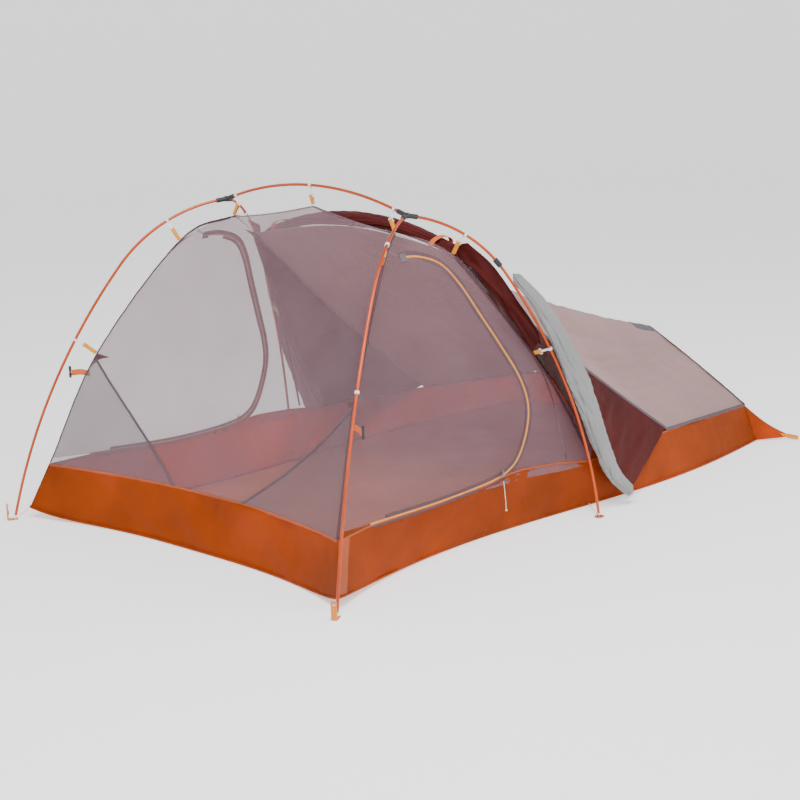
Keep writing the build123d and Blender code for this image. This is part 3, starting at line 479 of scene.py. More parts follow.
def cloth_finish(name, colour, rough=0.55, through=0.25, sheen=0.15, drift=0.18, crumple=0.6,
                 weave=0.0009, ripstop=0.006, coarse=30, gloss=0.3):
    """Thin coated cloth: plain weave and a ripstop grid from the cut's own metres, soft crumple
    and a slow drift of colour from the place, and some light through it."""
    material, shader = new_finish(name, colour, rough)
    shader.inputs["Sheen Weight"].default_value = sheen
    shader.inputs["Sheen Tint"].default_value = (*colour, 1)
    shader.inputs["Specular IOR Level"].default_value = gloss
    links = material.node_tree.links
    coordinates = node(material, "TexCoord")
    warp = node(material, "TexWave", wave_type="BANDS", bands_direction="X")
    weft = node(material, "TexWave", wave_type="BANDS", bands_direction="Y")
    grid = [node(material, "TexWave", wave_type="BANDS", bands_direction=way) for way in "XY"]
    for texture, size in ((warp, weave), (weft, weave), (grid[0], ripstop), (grid[1], ripstop)):
        texture.inputs["Scale"].default_value = 0.3142 / size
        links.new(coordinates.outputs["UV"], texture.inputs["Vector"])
    threads = node(material, "Math", operation="MULTIPLY")
    links.new(warp.outputs["Fac"], threads.inputs[0])
    links.new(weft.outputs["Fac"], threads.inputs[1])
    both = node(material, "Math", operation="MAXIMUM")
    for k, texture in enumerate(grid):
        line = node(material, "Math", operation="POWER")
        line.inputs[1].default_value = 14
        links.new(texture.outputs["Fac"], line.inputs[0])
        links.new(line.outputs["Value"], both.inputs[k])
    relief = node(material, "Math", operation="ADD")
    links.new(threads.outputs["Value"], relief.inputs[0])
    links.new(both.outputs["Value"], relief.inputs[1])
    soft = node(material, "TexNoise")
    soft.inputs["Scale"].default_value = coarse
    soft.inputs["Detail"].default_value = 5
    soft.inputs["Distortion"].default_value = 0.8
    slow = node(material, "TexNoise")
    slow.inputs["Scale"].default_value = 4
    slow.inputs["Detail"].default_value = 3
    for texture in (soft, slow):
        links.new(coordinates.outputs["Object"], texture.inputs["Vector"])
    wide = node(material, "Bump")
    wide.inputs["Strength"].default_value = crumple
    wide.inputs["Distance"].default_value = 0.004
    fine = node(material, "Bump")
    fine.inputs["Strength"].default_value = 0.35
    fine.inputs["Distance"].default_value = 0.0002
    links.new(soft.outputs["Fac"], wide.inputs["Height"])
    links.new(relief.outputs["Value"], fine.inputs["Height"])
    links.new(wide.outputs["Normal"], fine.inputs["Normal"])
    links.new(fine.outputs["Normal"], shader.inputs["Normal"])
    tint = node(material, "ValToRGB")
    tint.color_ramp.elements[0].position = 0.3
    tint.color_ramp.elements[1].position = 0.7
    tint.color_ramp.elements[0].color = (*[c * (1 - drift) for c in colour], 1)
    tint.color_ramp.elements[1].color = (*[min(c * (1 + drift), 1) for c in colour], 1)
    links.new(slow.outputs["Fac"], tint.inputs["Fac"])
    darker = node(material, "MixRGB", blend_type="MULTIPLY")
    darker.inputs["Color2"].default_value = (0.95, 0.94, 0.94, 1)
    links.new(both.outputs["Value"], darker.inputs["Fac"])
    links.new(tint.outputs["Color"], darker.inputs["Color1"])
    links.new(darker.outputs["Color"], shader.inputs["Base Color"])
    if through:
        glow = node(material, "BsdfTranslucent")
        mixed = node(material, "MixShader")
        mixed.inputs["Fac"].default_value = through
        links.new(darker.outputs["Color"], glow.inputs["Color"])
        links.new(wide.outputs["Normal"], glow.inputs["Normal"])
        links.new(shader.outputs["BSDF"], mixed.inputs[1])
        links.new(glow.outputs["BSDF"], mixed.inputs[2])
        links.new(mixed.outputs["Shader"], material.node_tree.nodes["Material Output"].inputs["Surface"])
    return material


# Painted light: the floor gets a paler, lighter orange than FLOOR_ORANGE, the same cloth in the walls, to
# make up for the shadow the mesh casts over it.
floor_cloth_painted_light = cloth_finish("floor_ripstop_painted_light", (0.60, 0.150, 0.035), rough=0.6, gloss=0.15)
t, v = np.linspace(0, 1, 110)[:, None], np.linspace(-1, 1, 70)[None, :]
ground = place(floor_point(t, v))
uv = arc_lengths(ground)
relief = hem(110, 70) * (0.0016 + 0.0012 * waves(uv, 0.16, 3) + 0.0016 * creases(uv, 0.3, 5))
ground = ground + np.maximum(relief, 0)[..., None] * [0, 0, 1]
piece = panel("tent_floor", ground, floor_cloth_painted_light, inside=place([1.2, 0, -2]))
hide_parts("floor_sheet")

# --- Bathtub walls --------------------------------------------------------------------
# The floor's cloth turns up all round to a height of 130 to 180 mm. Each wall is one long
# strip, darker where a second layer stiffens the head corners, with a bound seam on top.


def wall_top(x, side):
    """Top edge of the long walls: a sag from head corner to seam, then two straight runs."""
    t = (np.asarray(x) - 0.092) / (1.290 - 0.092)
    dip = np.sin(np.pi * t)
    first = [0.664 + (0.622 - 0.664) * t - 0.042 * dip, 0.182 + (0.163 - 0.182) * t - 0.022 * dip]
    y = np.where(x < 1.290, first[0], np.interp(x, (1.290, 1.798, 2.393), (0.622, 0.569, 0.500)))
    z = np.where(x < 1.290, first[1], np.interp(x, (1.290, 1.798, 2.393), (0.163, 0.157, 0.127)))
    return np.stack(np.broadcast_arrays(x, side * y, z), -1)


def head_wall_top(v):
    """Top edge of the head wall, bowed in by a parabola and a little lower at the middle."""
    bow = 1 - v * v
    return np.stack([0.092 + 0.106 * bow, v * 0.664, 0.182 - 0.008 * bow], -1)


def foot_wall_top(v):
    return np.stack(np.broadcast_arrays(2.393 + 0.062 * (1 - v * v), v * 0.500, 0.127), -1)


def between(low, high, s):
    """Straight strip from one edge line to another: s is the share of the way up."""
    return low[None, :, :] + (high - low)[None, :, :] * np.asarray(s)[:, None, None]


def wall_relief(points, seed, depth=1.0):
    """Puckers across the strip under its seam, long diagonal pulls and soft waves."""
    rows, cols = points.shape[:2]
    uv = arc_lengths(points)
    high = np.linspace(0, 1, rows)[:, None]
    puckers = waves(uv, 0.045, seed, 6, lean=np.pi / 2) * (high**3 + (1 - high) ** 4)
    pulls = waves(uv, 0.16, seed + 1, 6, lean=0.5) + 0.8 * waves(uv, 0.2, seed + 2, 6, lean=-0.6)
    soft = hem(rows, cols, 0.35)
    return depth * soft * (0.0026 * puckers + 0.0048 * pulls + 0.0060 * creases(uv, 0.22, seed + 3, 0.4))


s = np.linspace(0, 1, 18)
wall_cloth = cloth_finish("wall_ripstop", FLOOR_ORANGE, rough=0.5, through=0.7)
seam_brown = cloth_finish("seam_binding", (0.33, 0.065, 0.02), rough=0.8, through=0, ripstop=0.003)


def binding(name, line, out, wide, material, body=TENT, thick=0.0012, roll=0.0):
    """A flat tape sewn along an edge: the line widened both ways across a given direction,
    with a small crown so that its middle stands proud."""
    line = np.asarray(line)
    ahead = np.gradient(line, axis=0)
    ahead /= np.linalg.norm(ahead, axis=1, keepdims=True)
    out = np.broadcast_to(out, line.shape)
    across = np.cross(ahead, out)
    across /= np.linalg.norm(across, axis=1, keepdims=True)
    proud = np.cross(across, ahead)
    share = np.linspace(-1, 1, 5)[None, :, None]
    count = np.arange(len(line))[:, None, None]
    wobble = 0.0003 * np.sin(count * 1.7) + 0.0003 * np.sin(count * 0.73 + 1)
    crown = (1 - share**2) * 0.0010 + wobble + roll
    grid = line[:, None] + across[:, None] * (share * wide / 2) + proud[:, None] * crown
    piece = link(name, grid_mesh(name, outward(grid, grid.mean((0, 1)) - out.mean(0))))
    piece.data.materials.append(material)
    wall = piece.modifiers.new("thickness", "SOLIDIFY")
    wall.thickness = thick
    wall.offset = 0
    if body:
        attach(piece, body)
    return piece, grid


def tub_top(x, side):
    """Top seam of the long walls: it meets the zip's lower run along the door, stands a little
    higher behind the door's corner, and joins the straight runs at the roof."""
    seam = np.interp(x, (0.092, 0.235, 0.560, 0.800, 0.890, 0.960, 1.120, 1.290),
                     (0.182, 0.188, 0.175, 0.181, 0.194, 0.197, 0.186, 0.163))
    on_side = side_point(x, seam, side)
    return np.where((x < 1.290)[:, None], on_side, wall_top(x, side))


t = np.linspace(0, 1, 260)
for name, side in SIDES:
    low = floor_point(t, np.full_like(t, side))
    high = tub_top(0.092 + (2.393 - 0.092) * t, side)
    strip = place(between(low, high, s))
    strip = rumpled(strip, wall_relief(strip, 21 + int(side)) * -side)
    piece = panel("wall_cloth_" + name, strip, wall_cloth)
    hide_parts("wall_" + name)
    binding("wall_binding_" + name, strip[-1] + [0, side * 0.0012, -0.003], [0, side, 0.0], 0.006,
            seam_brown)
    binding("floor_seam_" + name, strip[0] + [0, side * 0.0012, 0.0045], [0, side, 0.0], 0.007,
            wall_cloth)
    corner = strip[:, 0:7] + [0, side * 0.0012, 0]
    patch = panel("corner_patch_" + name, corner, seam_brown)

v = np.linspace(-1, 1, 150)
low = floor_point(np.zeros_like(v), v)
strip = place(between(low, head_wall_top(v), s))
strip = rumpled(strip, wall_relief(strip, 41, 1.1))
piece = panel("wall_cloth_head", strip, wall_cloth)
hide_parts("wall_head")
binding("wall_binding_head", strip[-1] + [-0.0012, 0, -0.003], [-1, 0, 0.0], 0.009, seam_brown)
binding("floor_seam_head", strip[0] + [-0.0012, 0, 0.0045], [-1, 0, 0.0], 0.007, wall_cloth)

v = np.linspace(-1, 1, 110)
low = floor_point(np.ones_like(v), v)
strip = place(between(low, foot_wall_top(v) + [0.001, 0, 0], s))
strip = rumpled(strip, wall_relief(strip, 51))
piece = panel("wall_cloth_foot", strip, wall_cloth)
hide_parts("wall_foot")
binding("wall_binding_foot", strip[-1] + [0.0012, 0, -0.003], [1, 0, 0.0], 0.009, seam_brown)

# --- Mesh canopy ----------------------------------------------------------------------
# Fine see-through mesh over the head half: a head panel, a ribbon round each door and a
# narrow strip under the ridge. Bound seams run along the panel edges up to the clips.
MESH_MAUVE = (0.235, 0.148, 0.172)
HEAD_SEAM = [(0.092, 0.664, 0.182), (0.250, 0.588, 0.533), (0.512, 0.458, 0.882), (0.665, 0.364, 0.954)]
REAR_SEAM = [(1.290, 0.622, 0.163), (1.057, 0.577, 0.548), (0.832, 0.447, 0.874)]
MESH_TOP = (0.679, 0.0, 1.011)


def mesh_finish(name, colour, dense=0.49, spread=0.13):
    """Insect mesh: threads 1.2 mm apart each way carry the opacity, so it is part see-through,
    and slow clouds vary it a little."""
    material, shader = new_finish(name, colour, 0.7)
    shader.inputs["Specular IOR Level"].default_value = 0.15
    links = material.node_tree.links
    coordinates = node(material, "TexCoord")
    threads = [node(material, "TexWave", wave_type="BANDS", bands_direction=way) for way in "XY"]
    either = node(material, "Math", operation="MAXIMUM")
    for k, texture in enumerate(threads):
        texture.inputs["Scale"].default_value = 0.3142 / 0.0012
        links.new(coordinates.outputs["UV"], texture.inputs["Vector"])
        links.new(texture.outputs["Fac"], either.inputs[k])
    clouds = node(material, "TexNoise")
    clouds.inputs["Scale"].default_value = 5
    clouds.inputs["Detail"].default_value = 4
    links.new(coordinates.outputs["Object"], clouds.inputs["Vector"])
    drift = node(material, "MapRange")
    drift.inputs["To Min"].default_value = dense - spread - 0.10
    drift.inputs["To Max"].default_value = dense - spread + 0.04
    links.new(clouds.outputs["Fac"], drift.inputs["Value"])
    opacity = node(material, "Math", operation="MULTIPLY_ADD")
    opacity.inputs[1].default_value = spread * 1.45
    links.new(either.outputs["Value"], opacity.inputs[0])
    links.new(drift.outputs["Result"], opacity.inputs[2])
    links.new(opacity.outputs["Value"], shader.inputs["Alpha"])
    tint = node(material, "ValToRGB")
    tint.color_ramp.elements[0].color = (*[c * 0.88 for c in colour], 1)
    tint.color_ramp.elements[1].color = (*[c * 1.12 for c in colour], 1)
    links.new(clouds.outputs["Fac"], tint.inputs["Fac"])
    links.new(tint.outputs["Color"], shader.inputs["Base Color"])
    return material


def seam_at(seam, side, t):
    return smooth_line(seam, t) * [1, side, 1]


def ridge_edge(v):
    """Top edge of the head mesh: straight from each hub corner to the middle, with a sag."""
    rise = 1 - np.abs(v)
    return np.stack(np.broadcast_arrays(0.665 + 0.014 * rise, v * 0.364,
                                        0.954 + 0.057 * rise - 0.006 * np.sin(np.pi * rise)), -1)


def head_mesh_point(v, t):
    """Head panel: across from seam to seam, with the wall's and the ridge's own bows let in
    from below and above, and the middle pulled in towards the tent."""
    side = smooth_line(HEAD_SEAM, t)
    across = np.stack(np.broadcast_arrays(side[..., 0], v * side[..., 1], side[..., 2]), -1)
    straight = np.ones_like(v)
    bottom = head_wall_top(v) - np.stack(np.broadcast_arrays(0.092 * straight, v * 0.664, 0.182), -1)
    top = ridge_edge(v) - np.stack(np.broadcast_arrays(0.665 * straight, v * 0.364, 0.954), -1)
    pull = 0.055 * np.sin(np.pi * t) * (1 - v * v)
    shift = np.stack([pull, 0 * pull, -0.5 * pull], -1)
    return across + bottom * (1 - t)[..., None] + top * t[..., None] + shift


def mesh_relief(points, seed, depth=1.0):
    """Light tension: long soft pulls and a few finer ones, still at the seams."""
    rows, cols = points.shape[:2]
    uv = arc_lengths(points)
    pulls = 0.0024 * waves(uv, 0.30, seed, 5) + 0.0010 * waves(uv, 0.09, seed + 1, 6)
    return depth * hem(rows, cols, 0.8) * pulls


insect_mesh = mesh_finish("insect_mesh", MESH_MAUVE)
corner_mesh = mesh_finish("corner_mesh", (0.17, 0.125, 0.145), dense=0.46)
seam_mauve = cloth_finish("mesh_binding", (0.085, 0.04, 0.05), rough=0.8, through=0.1, ripstop=0.003)
seam_grey = cloth_finish("grey_binding", (0.115, 0.085, 0.10), rough=0.8, through=0.2, ripstop=0.003)
patch_maroon = cloth_finish("corner_patch", (0.10, 0.04, 0.048), rough=0.7, through=0.15)

t = np.repeat(np.linspace(0, 1, 90)[:, None], 110, 1)
v = np.repeat(np.linspace(-1, 1, 110)[None, :], 90, 0)
head = place(head_mesh_point(v, t))
head = rumpled(head, mesh_relief(head, 61))
piece = panel("mesh_cloth_head", head, insect_mesh, thick=0)
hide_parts("mesh_head")
binding("mesh_binding_top", head[-1] + [0, 0, -0.004], [0, 0, 1.0], 0.011, seam_mauve)
for name, side in SIDES:
    line = place(seam_at(HEAD_SEAM, side, np.linspace(0.004, 0.99, 90)))
    binding("head_seam_" + name, line, [-0.6, side, 0.2], 0.010, seam_mauve)
    # A grey dart seam runs from the low clip across the head panel down to its wall.
    share = np.linspace(0, 1, 50)
    t_line = 0.366 * (1 - share)
    v_line = side * (1.0 - 0.76 * share)
    dart = place(head_mesh_point(v_line, t_line)) + [-0.0015, 0, 0]
    binding("head_dart_" + name, dart, [-1, 0, 0.5], 0.008, seam_grey)
    # Between that seam and the head seam a second layer of mesh makes a denser triangle.
    share = np.repeat(np.linspace(0.04, 1, 50)[:, None], 24, 1)
    across = np.repeat(np.linspace(0, 1, 24)[None, :], 50, 0)
    v_layer = side * (1.0 - 0.76 * share * (1 - across))
    layer = place(head_mesh_point(v_layer, 0.366 * (1 - share))) + [-0.0012, 0, 0]
    piece = panel("head_corner_" + name, layer, corner_mesh, thick=0)


def roof_front(v):
    """Front edge of the foot roof: a parabola from corner to corner."""
    return np.stack(np.broadcast_arrays(0.832, v * 0.447, 0.874 + 0.051 * (1 - v * v)), -1)


v = np.linspace(-1, 1, 70)
strip = place(between(ridge_edge(v), roof_front(v), np.linspace(0, 1, 16)))
strip = rumpled(strip, mesh_relief(strip, 67))
piece = panel("mesh_cloth_roof", strip, insect_mesh, thick=0)
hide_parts("mesh_roof")

# --- Side mesh, doors and zips --------------------------------------------------------
# Each long side is one arch of mesh with a big door cut in it by a curved zip. The door
# hangs on the head seam.
ZIP_LINE = [(0.235, 0.190), (0.560, 0.176), (0.800, 0.183), (0.905, 0.206), (0.962, 0.262),
            (1.000, 0.372), (0.985, 0.470), (0.925, 0.592), (0.872, 0.690), (0.818, 0.790),
            (0.762, 0.855), (0.680, 0.886), (0.600, 0.892)]
SURROUND = [(0.235, 0.176), (0.600, 0.162), (0.950, 0.162), (1.288, 0.166), (1.185, 0.366),
            (1.054, 0.556), (0.954, 0.722), (0.832, 0.874), (0.667, 0.952), (0.556, 0.912)]


def zip_point(t, out=0.0):
    """x and z on the zip, moved outwards from the door square to the line."""
    here = smooth_line(ZIP_LINE, t)
    ahead = smooth_line(ZIP_LINE, np.minimum(t + 0.004, 1)) - smooth_line(ZIP_LINE, np.maximum(t - 0.004, 0))
    ahead /= np.linalg.norm(ahead, axis=-1, keepdims=True)
    return here + np.stack([ahead[..., 1], -ahead[..., 0]], -1) * np.asarray(out)[..., None]


def zip_band(side, low, high, count, first=0.0, last=1.0, proud=0.0, cols=5):
    """A band that follows the zip in the side's surface, standing a little proud of it."""
    t = np.repeat(np.linspace(first, last, count)[:, None], cols, 1)
    out = np.repeat(np.linspace(low, high, cols)[None, :], count, 0)
    flat = zip_point(t, out)
    grid = side_point(flat[..., 0], flat[..., 1], side)
    return place(grid + [0, side * proud, 0])


LEFT_SIDE = 1.0


def door_mesh(side):
    """Door: rows run from the head seam to just inside the zip. Near the seam the sheet takes
    the seam's own half width, which fades out as the square of the share left."""
    t = np.linspace(0, 1, 100)
    s = np.linspace(0, 1, 90)
    edge = seam_at(HEAD_SEAM, LEFT_SIDE, 0.02 + 0.85 * t)
    line = zip_point(t, 0 * t - 0.001)
    x = edge[:, None, 0] + (line[:, None, 0] - edge[:, None, 0]) * s[None, :]
    z = edge[:, None, 2] + (line[:, None, 1] - edge[:, None, 2]) * s[None, :]
    grid = side_point(x, z, LEFT_SIDE)
    miss = edge - side_point(edge[:, 0], edge[:, 2], LEFT_SIDE)
    grid = grid + miss[:, None] * ((1 - s) ** 2)[None, :, None]
    return grid * [1, side, 1]


door_mesh_cloth = mesh_finish("door_mesh", (0.23, 0.142, 0.164))
zip_tape = cloth_finish("zip_tape", (0.105, 0.062, 0.074), rough=0.85, through=0.15, weave=0.0012,
                        ripstop=0.0024)
zip_coil = moulded_finish("zip_coil", (0.66, 0.22, 0.010), 0.5)
HINGE_LOW, HINGE_HIGH = np.array((0.150, 0.205)), np.array((0.520, 0.866))


def coil(side, count):
    """The closed coil: a half round rib along the zip whose height beats once per tooth."""
    t = np.repeat(np.linspace(0.004, 0.996, count)[:, None], 5, 1)
    angle = np.repeat(np.linspace(0, np.pi, 5)[None, :], count, 0)
    out = 0.0034 * np.cos(angle)
    flat = zip_point(t, out)
    grid = side_point(flat[..., 0], flat[..., 1], side)
    teeth = 0.75 + 0.25 * np.abs(np.sin(np.arange(count) * np.pi / 4))[:, None]
    height = side * (0.0008 + 0.0026 * np.sin(angle) * teeth)
    return place(grid + np.stack([0 * angle, height, 0 * angle], -1))


for name, side in SIDES:
    t = np.linspace(0.27, 1.0, 150)
    line = zip_point(t, 0 * t)
    edge = smooth_line(SURROUND, t)
    s = np.linspace(0, 1, 24)[None, :, None]
    flat = line[:, None] + (edge - line)[:, None] * s
    ribbon = place(side_point(flat[..., 0], flat[..., 1], side))
    ribbon = rumpled(ribbon, mesh_relief(ribbon, 71))
    piece = panel("mesh_cloth_" + name, ribbon, insect_mesh, thick=0)
    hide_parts("mesh_side_" + name)

    door = place(door_mesh(side))
    uv = arc_lengths(door)
    soft = hem(100, 90, 0.7)
    pulls = 0.0030 * waves(uv, 0.26, 81, 5, lean=0.7) + 0.0018 * waves(uv, 0.10, 82, 6, lean=0.9)
    door = rumpled(door, soft * pulls)
    piece = panel("door_cloth_" + name, door, door_mesh_cloth, thick=0, body=None)
    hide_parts("door_" + name)
    low, high = (place(side_point(*spot, side)) for spot in (HINGE_LOW, HINGE_HIGH))
    line = (high - low) / np.linalg.norm(high - low)
    away = np.array([1.0, 0, 0]) - line * line[0]
    away /= np.linalg.norm(away)
    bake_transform(piece)

    tape = zip_band(side, 0.0035, 0.0135, 220, 0.01, 0.995, 0.0012)
    piece = panel("zip_tape_fixed_" + name, tape, zip_tape)
    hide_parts("zip_track_" + name)
    teeth = coil(side, 2200)
    panel("zip_coil_" + name, teeth, zip_coil, thick=0)
    tape = zip_band(side, -0.0135, -0.0040, 200, 0.05, 0.94, 0.0012)
    panel("zip_tape_door_" + name, tape, zip_tape, body="door_" + name)

    # Rear seam: a mauve band from the wall up to the roof corner, with a thin dark one behind.
    seam = smooth_line(REAR_SEAM, np.linspace(0.01, 0.99, 80))
    line = place(side_point(seam[:, 0], seam[:, 2], side))
    binding("rear_seam_" + name, line, [0.3, side, 0.3], 0.014, seam_mauve, roll=0.001)
    low = place(side_point(np.array(1.174), np.array(0.188), side))
    mid = place(side_point(np.array(1.093), np.array(0.465), side))
    top = place(side_point(np.array(0.959), np.array(0.708), side))
    line = smooth_line([low, mid, top], np.linspace(0, 1, 60)) + [0, side * 0.001, 0]
    binding("side_seam_" + name, line, [0.3, side, 0.3], 0.007, patch_maroon)

# --- Foot roof ------------------------------------------------------------------------
# Solid coated cloth over the legs' end: it hangs from the canopy's rear corners, rises to a
# ridge and falls to an apex that a short strut holds up inside.
ROOF_GREY = (0.40, 0.250, 0.240)


def roof_ridge(x):
    """Height of the ridge: a parabola down to the apex, a little lower near its front."""
    u = 2.484 - x
    start = np.maximum(1 - (x - 0.832) / 0.300, 0) ** 2
    return 0.355 + 0.249 * u + 0.0634 * u * u - 0.014 * start


def roof_low_edge(x, side):
    """Lower edge: a slanting seam that sags as a sine, then the top of the wall."""
    t = (x - 0.832) / (1.798 - 0.832)
    y = 0.447 + (0.569 - 0.447) * t
    z = 0.874 + (0.157 - 0.874) * t - 0.024 * np.sin(np.pi * np.clip(t, 0, 1))
    slant = np.stack(np.broadcast_arrays(x, side * y, z), -1)
    return np.where((np.asarray(x) >= 1.798)[..., None], wall_top(x, side), slant)


def roof_point(t, v):
    """Roof: across from edge over the ridge to edge, by a power that sharpens towards the
    foot, with a shallow sag on each slope."""
    x = 0.836 + (2.393 - 0.836) * t
    edge = roof_low_edge(x, 1.0)
    far = (2.484 - 2.393) * (1 - np.abs(v)) * t**4
    sag = 0.014 * np.sin(np.pi * np.abs(v)) * np.sin(np.pi * t)
    arch = 1 - np.abs(v) ** (1.7 - 0.7 * np.minimum(t * 2, 1))
    top = roof_ridge(x + far)
    z = edge[..., 2] + (top - edge[..., 2]) * arch - sag + 0.003
    return np.stack([x + far, edge[..., 1] * v, z], -1)


roof_cloth = cloth_finish("roof_nylon", ROOF_GREY, rough=0.42, through=0.3, sheen=0.25, drift=0.08)
edge_grey = cloth_finish("roof_reinforcement", (0.11, 0.10, 0.11), rough=0.7, through=0.1)
t = np.repeat(np.linspace(0, 1, 210)[:, None], 150, 1)
v = np.repeat(np.linspace(-1, 1, 150)[None, :], 210, 0)
roof = place(roof_point(t, v))
uv = arc_lengths(roof)
soft = hem(210, 150, 0.4)
length = np.linspace(0, 1, 210)[:, None]
lean = np.pi / 2
folds = 0.0075 * waves(uv, 0.17, 91, 6, lean=lean, stretch=0.6)
folds = folds + 0.0030 * waves(uv, 0.075, 92, 7, lean=lean - 0.12, stretch=0.6)
folds = folds + 0.0035 * creases(uv, 0.34, 93, lean + 0.1) * (1 - 0.6 * length)
folds = folds + 0.0016 * waves(uv, 0.05, 94, 6) * length
roof = rumpled(roof, soft * folds * -1)
piece = panel("roof_cloth_foot", roof, roof_cloth)
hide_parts("foot_roof")
end_line = roof[-1]
binding("roof_edge_foot", end_line + [0.001, 0, 0.001], [0.7, 0, 0.7], 0.012, edge_grey)
for name, side in SIDES:
    col = -1 if side > 0 else 0
    line = roof[4:-1, col]
    binding("roof_edge_" + name, line + [0, side * 0.002, 0.001], [0.2, side, 0.5], 0.011,
            seam_grey)
patch = roof[193:209, 68:82] + [0.0006, 0, 0.0016]
panel("roof_patch_apex", patch, edge_grey)

v = np.linspace(-0.995, 0.995, 100)
low = foot_wall_top(v) + [0.003, 0, 0]
rise = 1 - np.abs(v)
high = np.stack([2.393 + 0.091 * rise, v * 0.500, 0.127 + 0.228 * rise + 0.002], -1)
strip = place(between(low, high, np.linspace(0, 1, 30)))
strip = rumpled(strip, wall_relief(strip, 95, 0.8))
piece = panel("roof_cloth_end", strip, roof_cloth)
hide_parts("foot_end_panel")

# --- Stake-out corners ----------------------------------------------------------------
# At each foot corner a triangle of floor cloth runs out to a folded loop of yellow webbing
# that takes a stake.
STAKE_TIP = np.array((2.478, 0.626, 0.015))
STAKE_END = np.array((2.502, 0.664, 0.004))


def webbing_finish(name, colour):
    """Woven tape: ribs across its width, a flecked colour and a soft sheen."""
    material, shader = new_finish(name, colour, 0.75)
    shader.inputs["Sheen Weight"].default_value = 0.02
    links = material.node_tree.links
    coordinates = node(material, "TexCoord")
    ribs = node(material, "TexWave", wave_type="BANDS", bands_direction="Y")
    ribs.inputs["Scale"].default_value = 0.3142 / 0.0016
    cords = node(material, "TexWave", wave_type="BANDS", bands_direction="X")
    cords.inputs["Scale"].default_value = 0.3142 / 0.0022
    for texture in (ribs, cords):
        links.new(coordinates.outputs["UV"], texture.inputs["Vector"])
    weave = node(material, "Math", operation="MULTIPLY")
    links.new(ribs.outputs["Fac"], weave.inputs[0])
    links.new(cords.outputs["Fac"], weave.inputs[1])
    bump = node(material, "Bump")
    bump.inputs["Strength"].default_value = 0.7
    bump.inputs["Distance"].default_value = 0.0005
    flecks = node(material, "TexNoise")
    flecks.inputs["Scale"].default_value = 120
    tint = node(material, "ValToRGB")
    tint.color_ramp.elements[0].color = (*[c * 0.7 for c in colour], 1)
    tint.color_ramp.elements[1].color = (*[min(c * 1.15, 1) for c in colour], 1)
    links.new(coordinates.outputs["Object"], flecks.inputs["Vector"])
    links.new(weave.outputs["Value"], bump.inputs["Height"])
    links.new(flecks.outputs["Fac"], tint.inputs["Fac"])
    links.new(tint.outputs["Color"], shader.inputs["Base Color"])
    links.new(bump.outputs["Normal"], shader.inputs["Normal"])
    return material


def band_along(line, wide, half):
    """A flat band: the line widened both ways along a direction by half its width."""
    share = np.linspace(-1, 1, 5)[None, :, None]
    return line[:, None] + np.asarray(wide) * share * half


def smoothed(points, count):
    return smooth_line(points, np.linspace(0, 1, count))


yellow_webbing = webbing_finish("yellow_webbing", (0.72, 0.25, 0.003))
orange_tape = webbing_finish("orange_tape", (0.62, 0.12, 0.015))
for name, side in SIDES:
    top = np.array([2.391, side * 0.501, 0.125])
    low = np.array([2.391, side * 0.554, 0.003])
    tip = STAKE_TIP * [1, side, 1]
    s = np.linspace(0, 1, 30)[:, None]
    upper = top + (tip + [0, 0, 0.005] - top) * s + [0, 0, -0.010] * np.sin(np.pi * s)
    lower = low + (tip - [0, 0, 0.007] - low) * s
    strip = place(between(lower, upper, np.linspace(0, 1, 16)))
    strip = rumpled(strip, wall_relief(strip, 101, 0.6))
    piece = panel("gusset_cloth_" + name, strip, wall_cloth)
    if name == "right":
        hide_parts("corner_gussets")
    binding("gusset_hem_" + name, place(upper), [0, -side, 0.4], 0.006, seam_brown)
    start, end = tip, STAKE_END * [1, side, 1] + [0, 0, 0.004]
    along = (end - start) / np.linalg.norm(end - start)
    flat = np.cross(along, [0, 0, 1.0])
    flat /= np.linalg.norm(flat)
    loop = [start - along * 0.022 + flat * 0.0012, start + flat * 0.003, start + along * 0.014 + flat * 0.008,
            end - along * 0.006 + flat * 0.007, end + along * 0.003, end - along * 0.006 - flat * 0.007,
            start + along * 0.014 - flat * 0.008, start - flat * 0.003, start - along * 0.022 - flat * 0.0012]
    line = place(smoothed(loop, 60))
    line[:, 2] = np.maximum(line[:, 2], 0.0075)
    piece = panel("stake_webbing_" + name, band_along(line, [0, 0, 1.0], 0.0062), yellow_webbing,
                  thick=0.0013, inside=line.mean(0))
    if name == "right":
        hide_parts("stake_loops")

# --- Clips, straps and tie tabs -------------------------------------------------------
# Clear hooks snap on the poles. Each holds a strap of yellow webbing that is sewn to a
# doubled maroon corner of the mesh. An orange tab by each door carries a toggle.
HUB = np.array((0.674, 0.403, 1.007))
HEAD_LEG = ((0.0, 0.747), 4.7, (0.522, 2.050), (46.9, 25.4))
REAR_LEG = ((1.219, 0.716), 7.6, (0.456, 1.810), (47.3, 28.0))
CLIP_REACH = 0.034


def leg_point(leg, side, stretch, part):
    """Point and heading on a leg: two arcs, one after the other, that bend down in the
    upright plane of the hub and the foot."""
    foot, start, radii, turns = leg
    out = np.array([foot[0] - HUB[0], side * (foot[1] - HUB[1]), 0])
    out /= np.linalg.norm(out)
    spot = HUB * [1, side, 1]
    angle = math.radians(start)
    for k in range(stretch + 1):
        nxt = angle + math.radians(turns[k]) * (part if k == stretch else 1.0)
        spot = spot + out * radii[k] * (math.sin(nxt) - math.sin(angle))
        spot = spot + np.array([0, 0, radii[k] * (math.cos(nxt) - math.cos(angle))])
        angle = nxt
    return spot, out * math.cos(angle) - np.array([0, 0, math.sin(angle)])


def ridge_point(y):
    radius = (0.403**2 + 0.068**2) / (2 * 0.068)
    return np.array([0.674, y, 1.007 + 0.068 - radius + math.sqrt(radius**2 - y**2)])


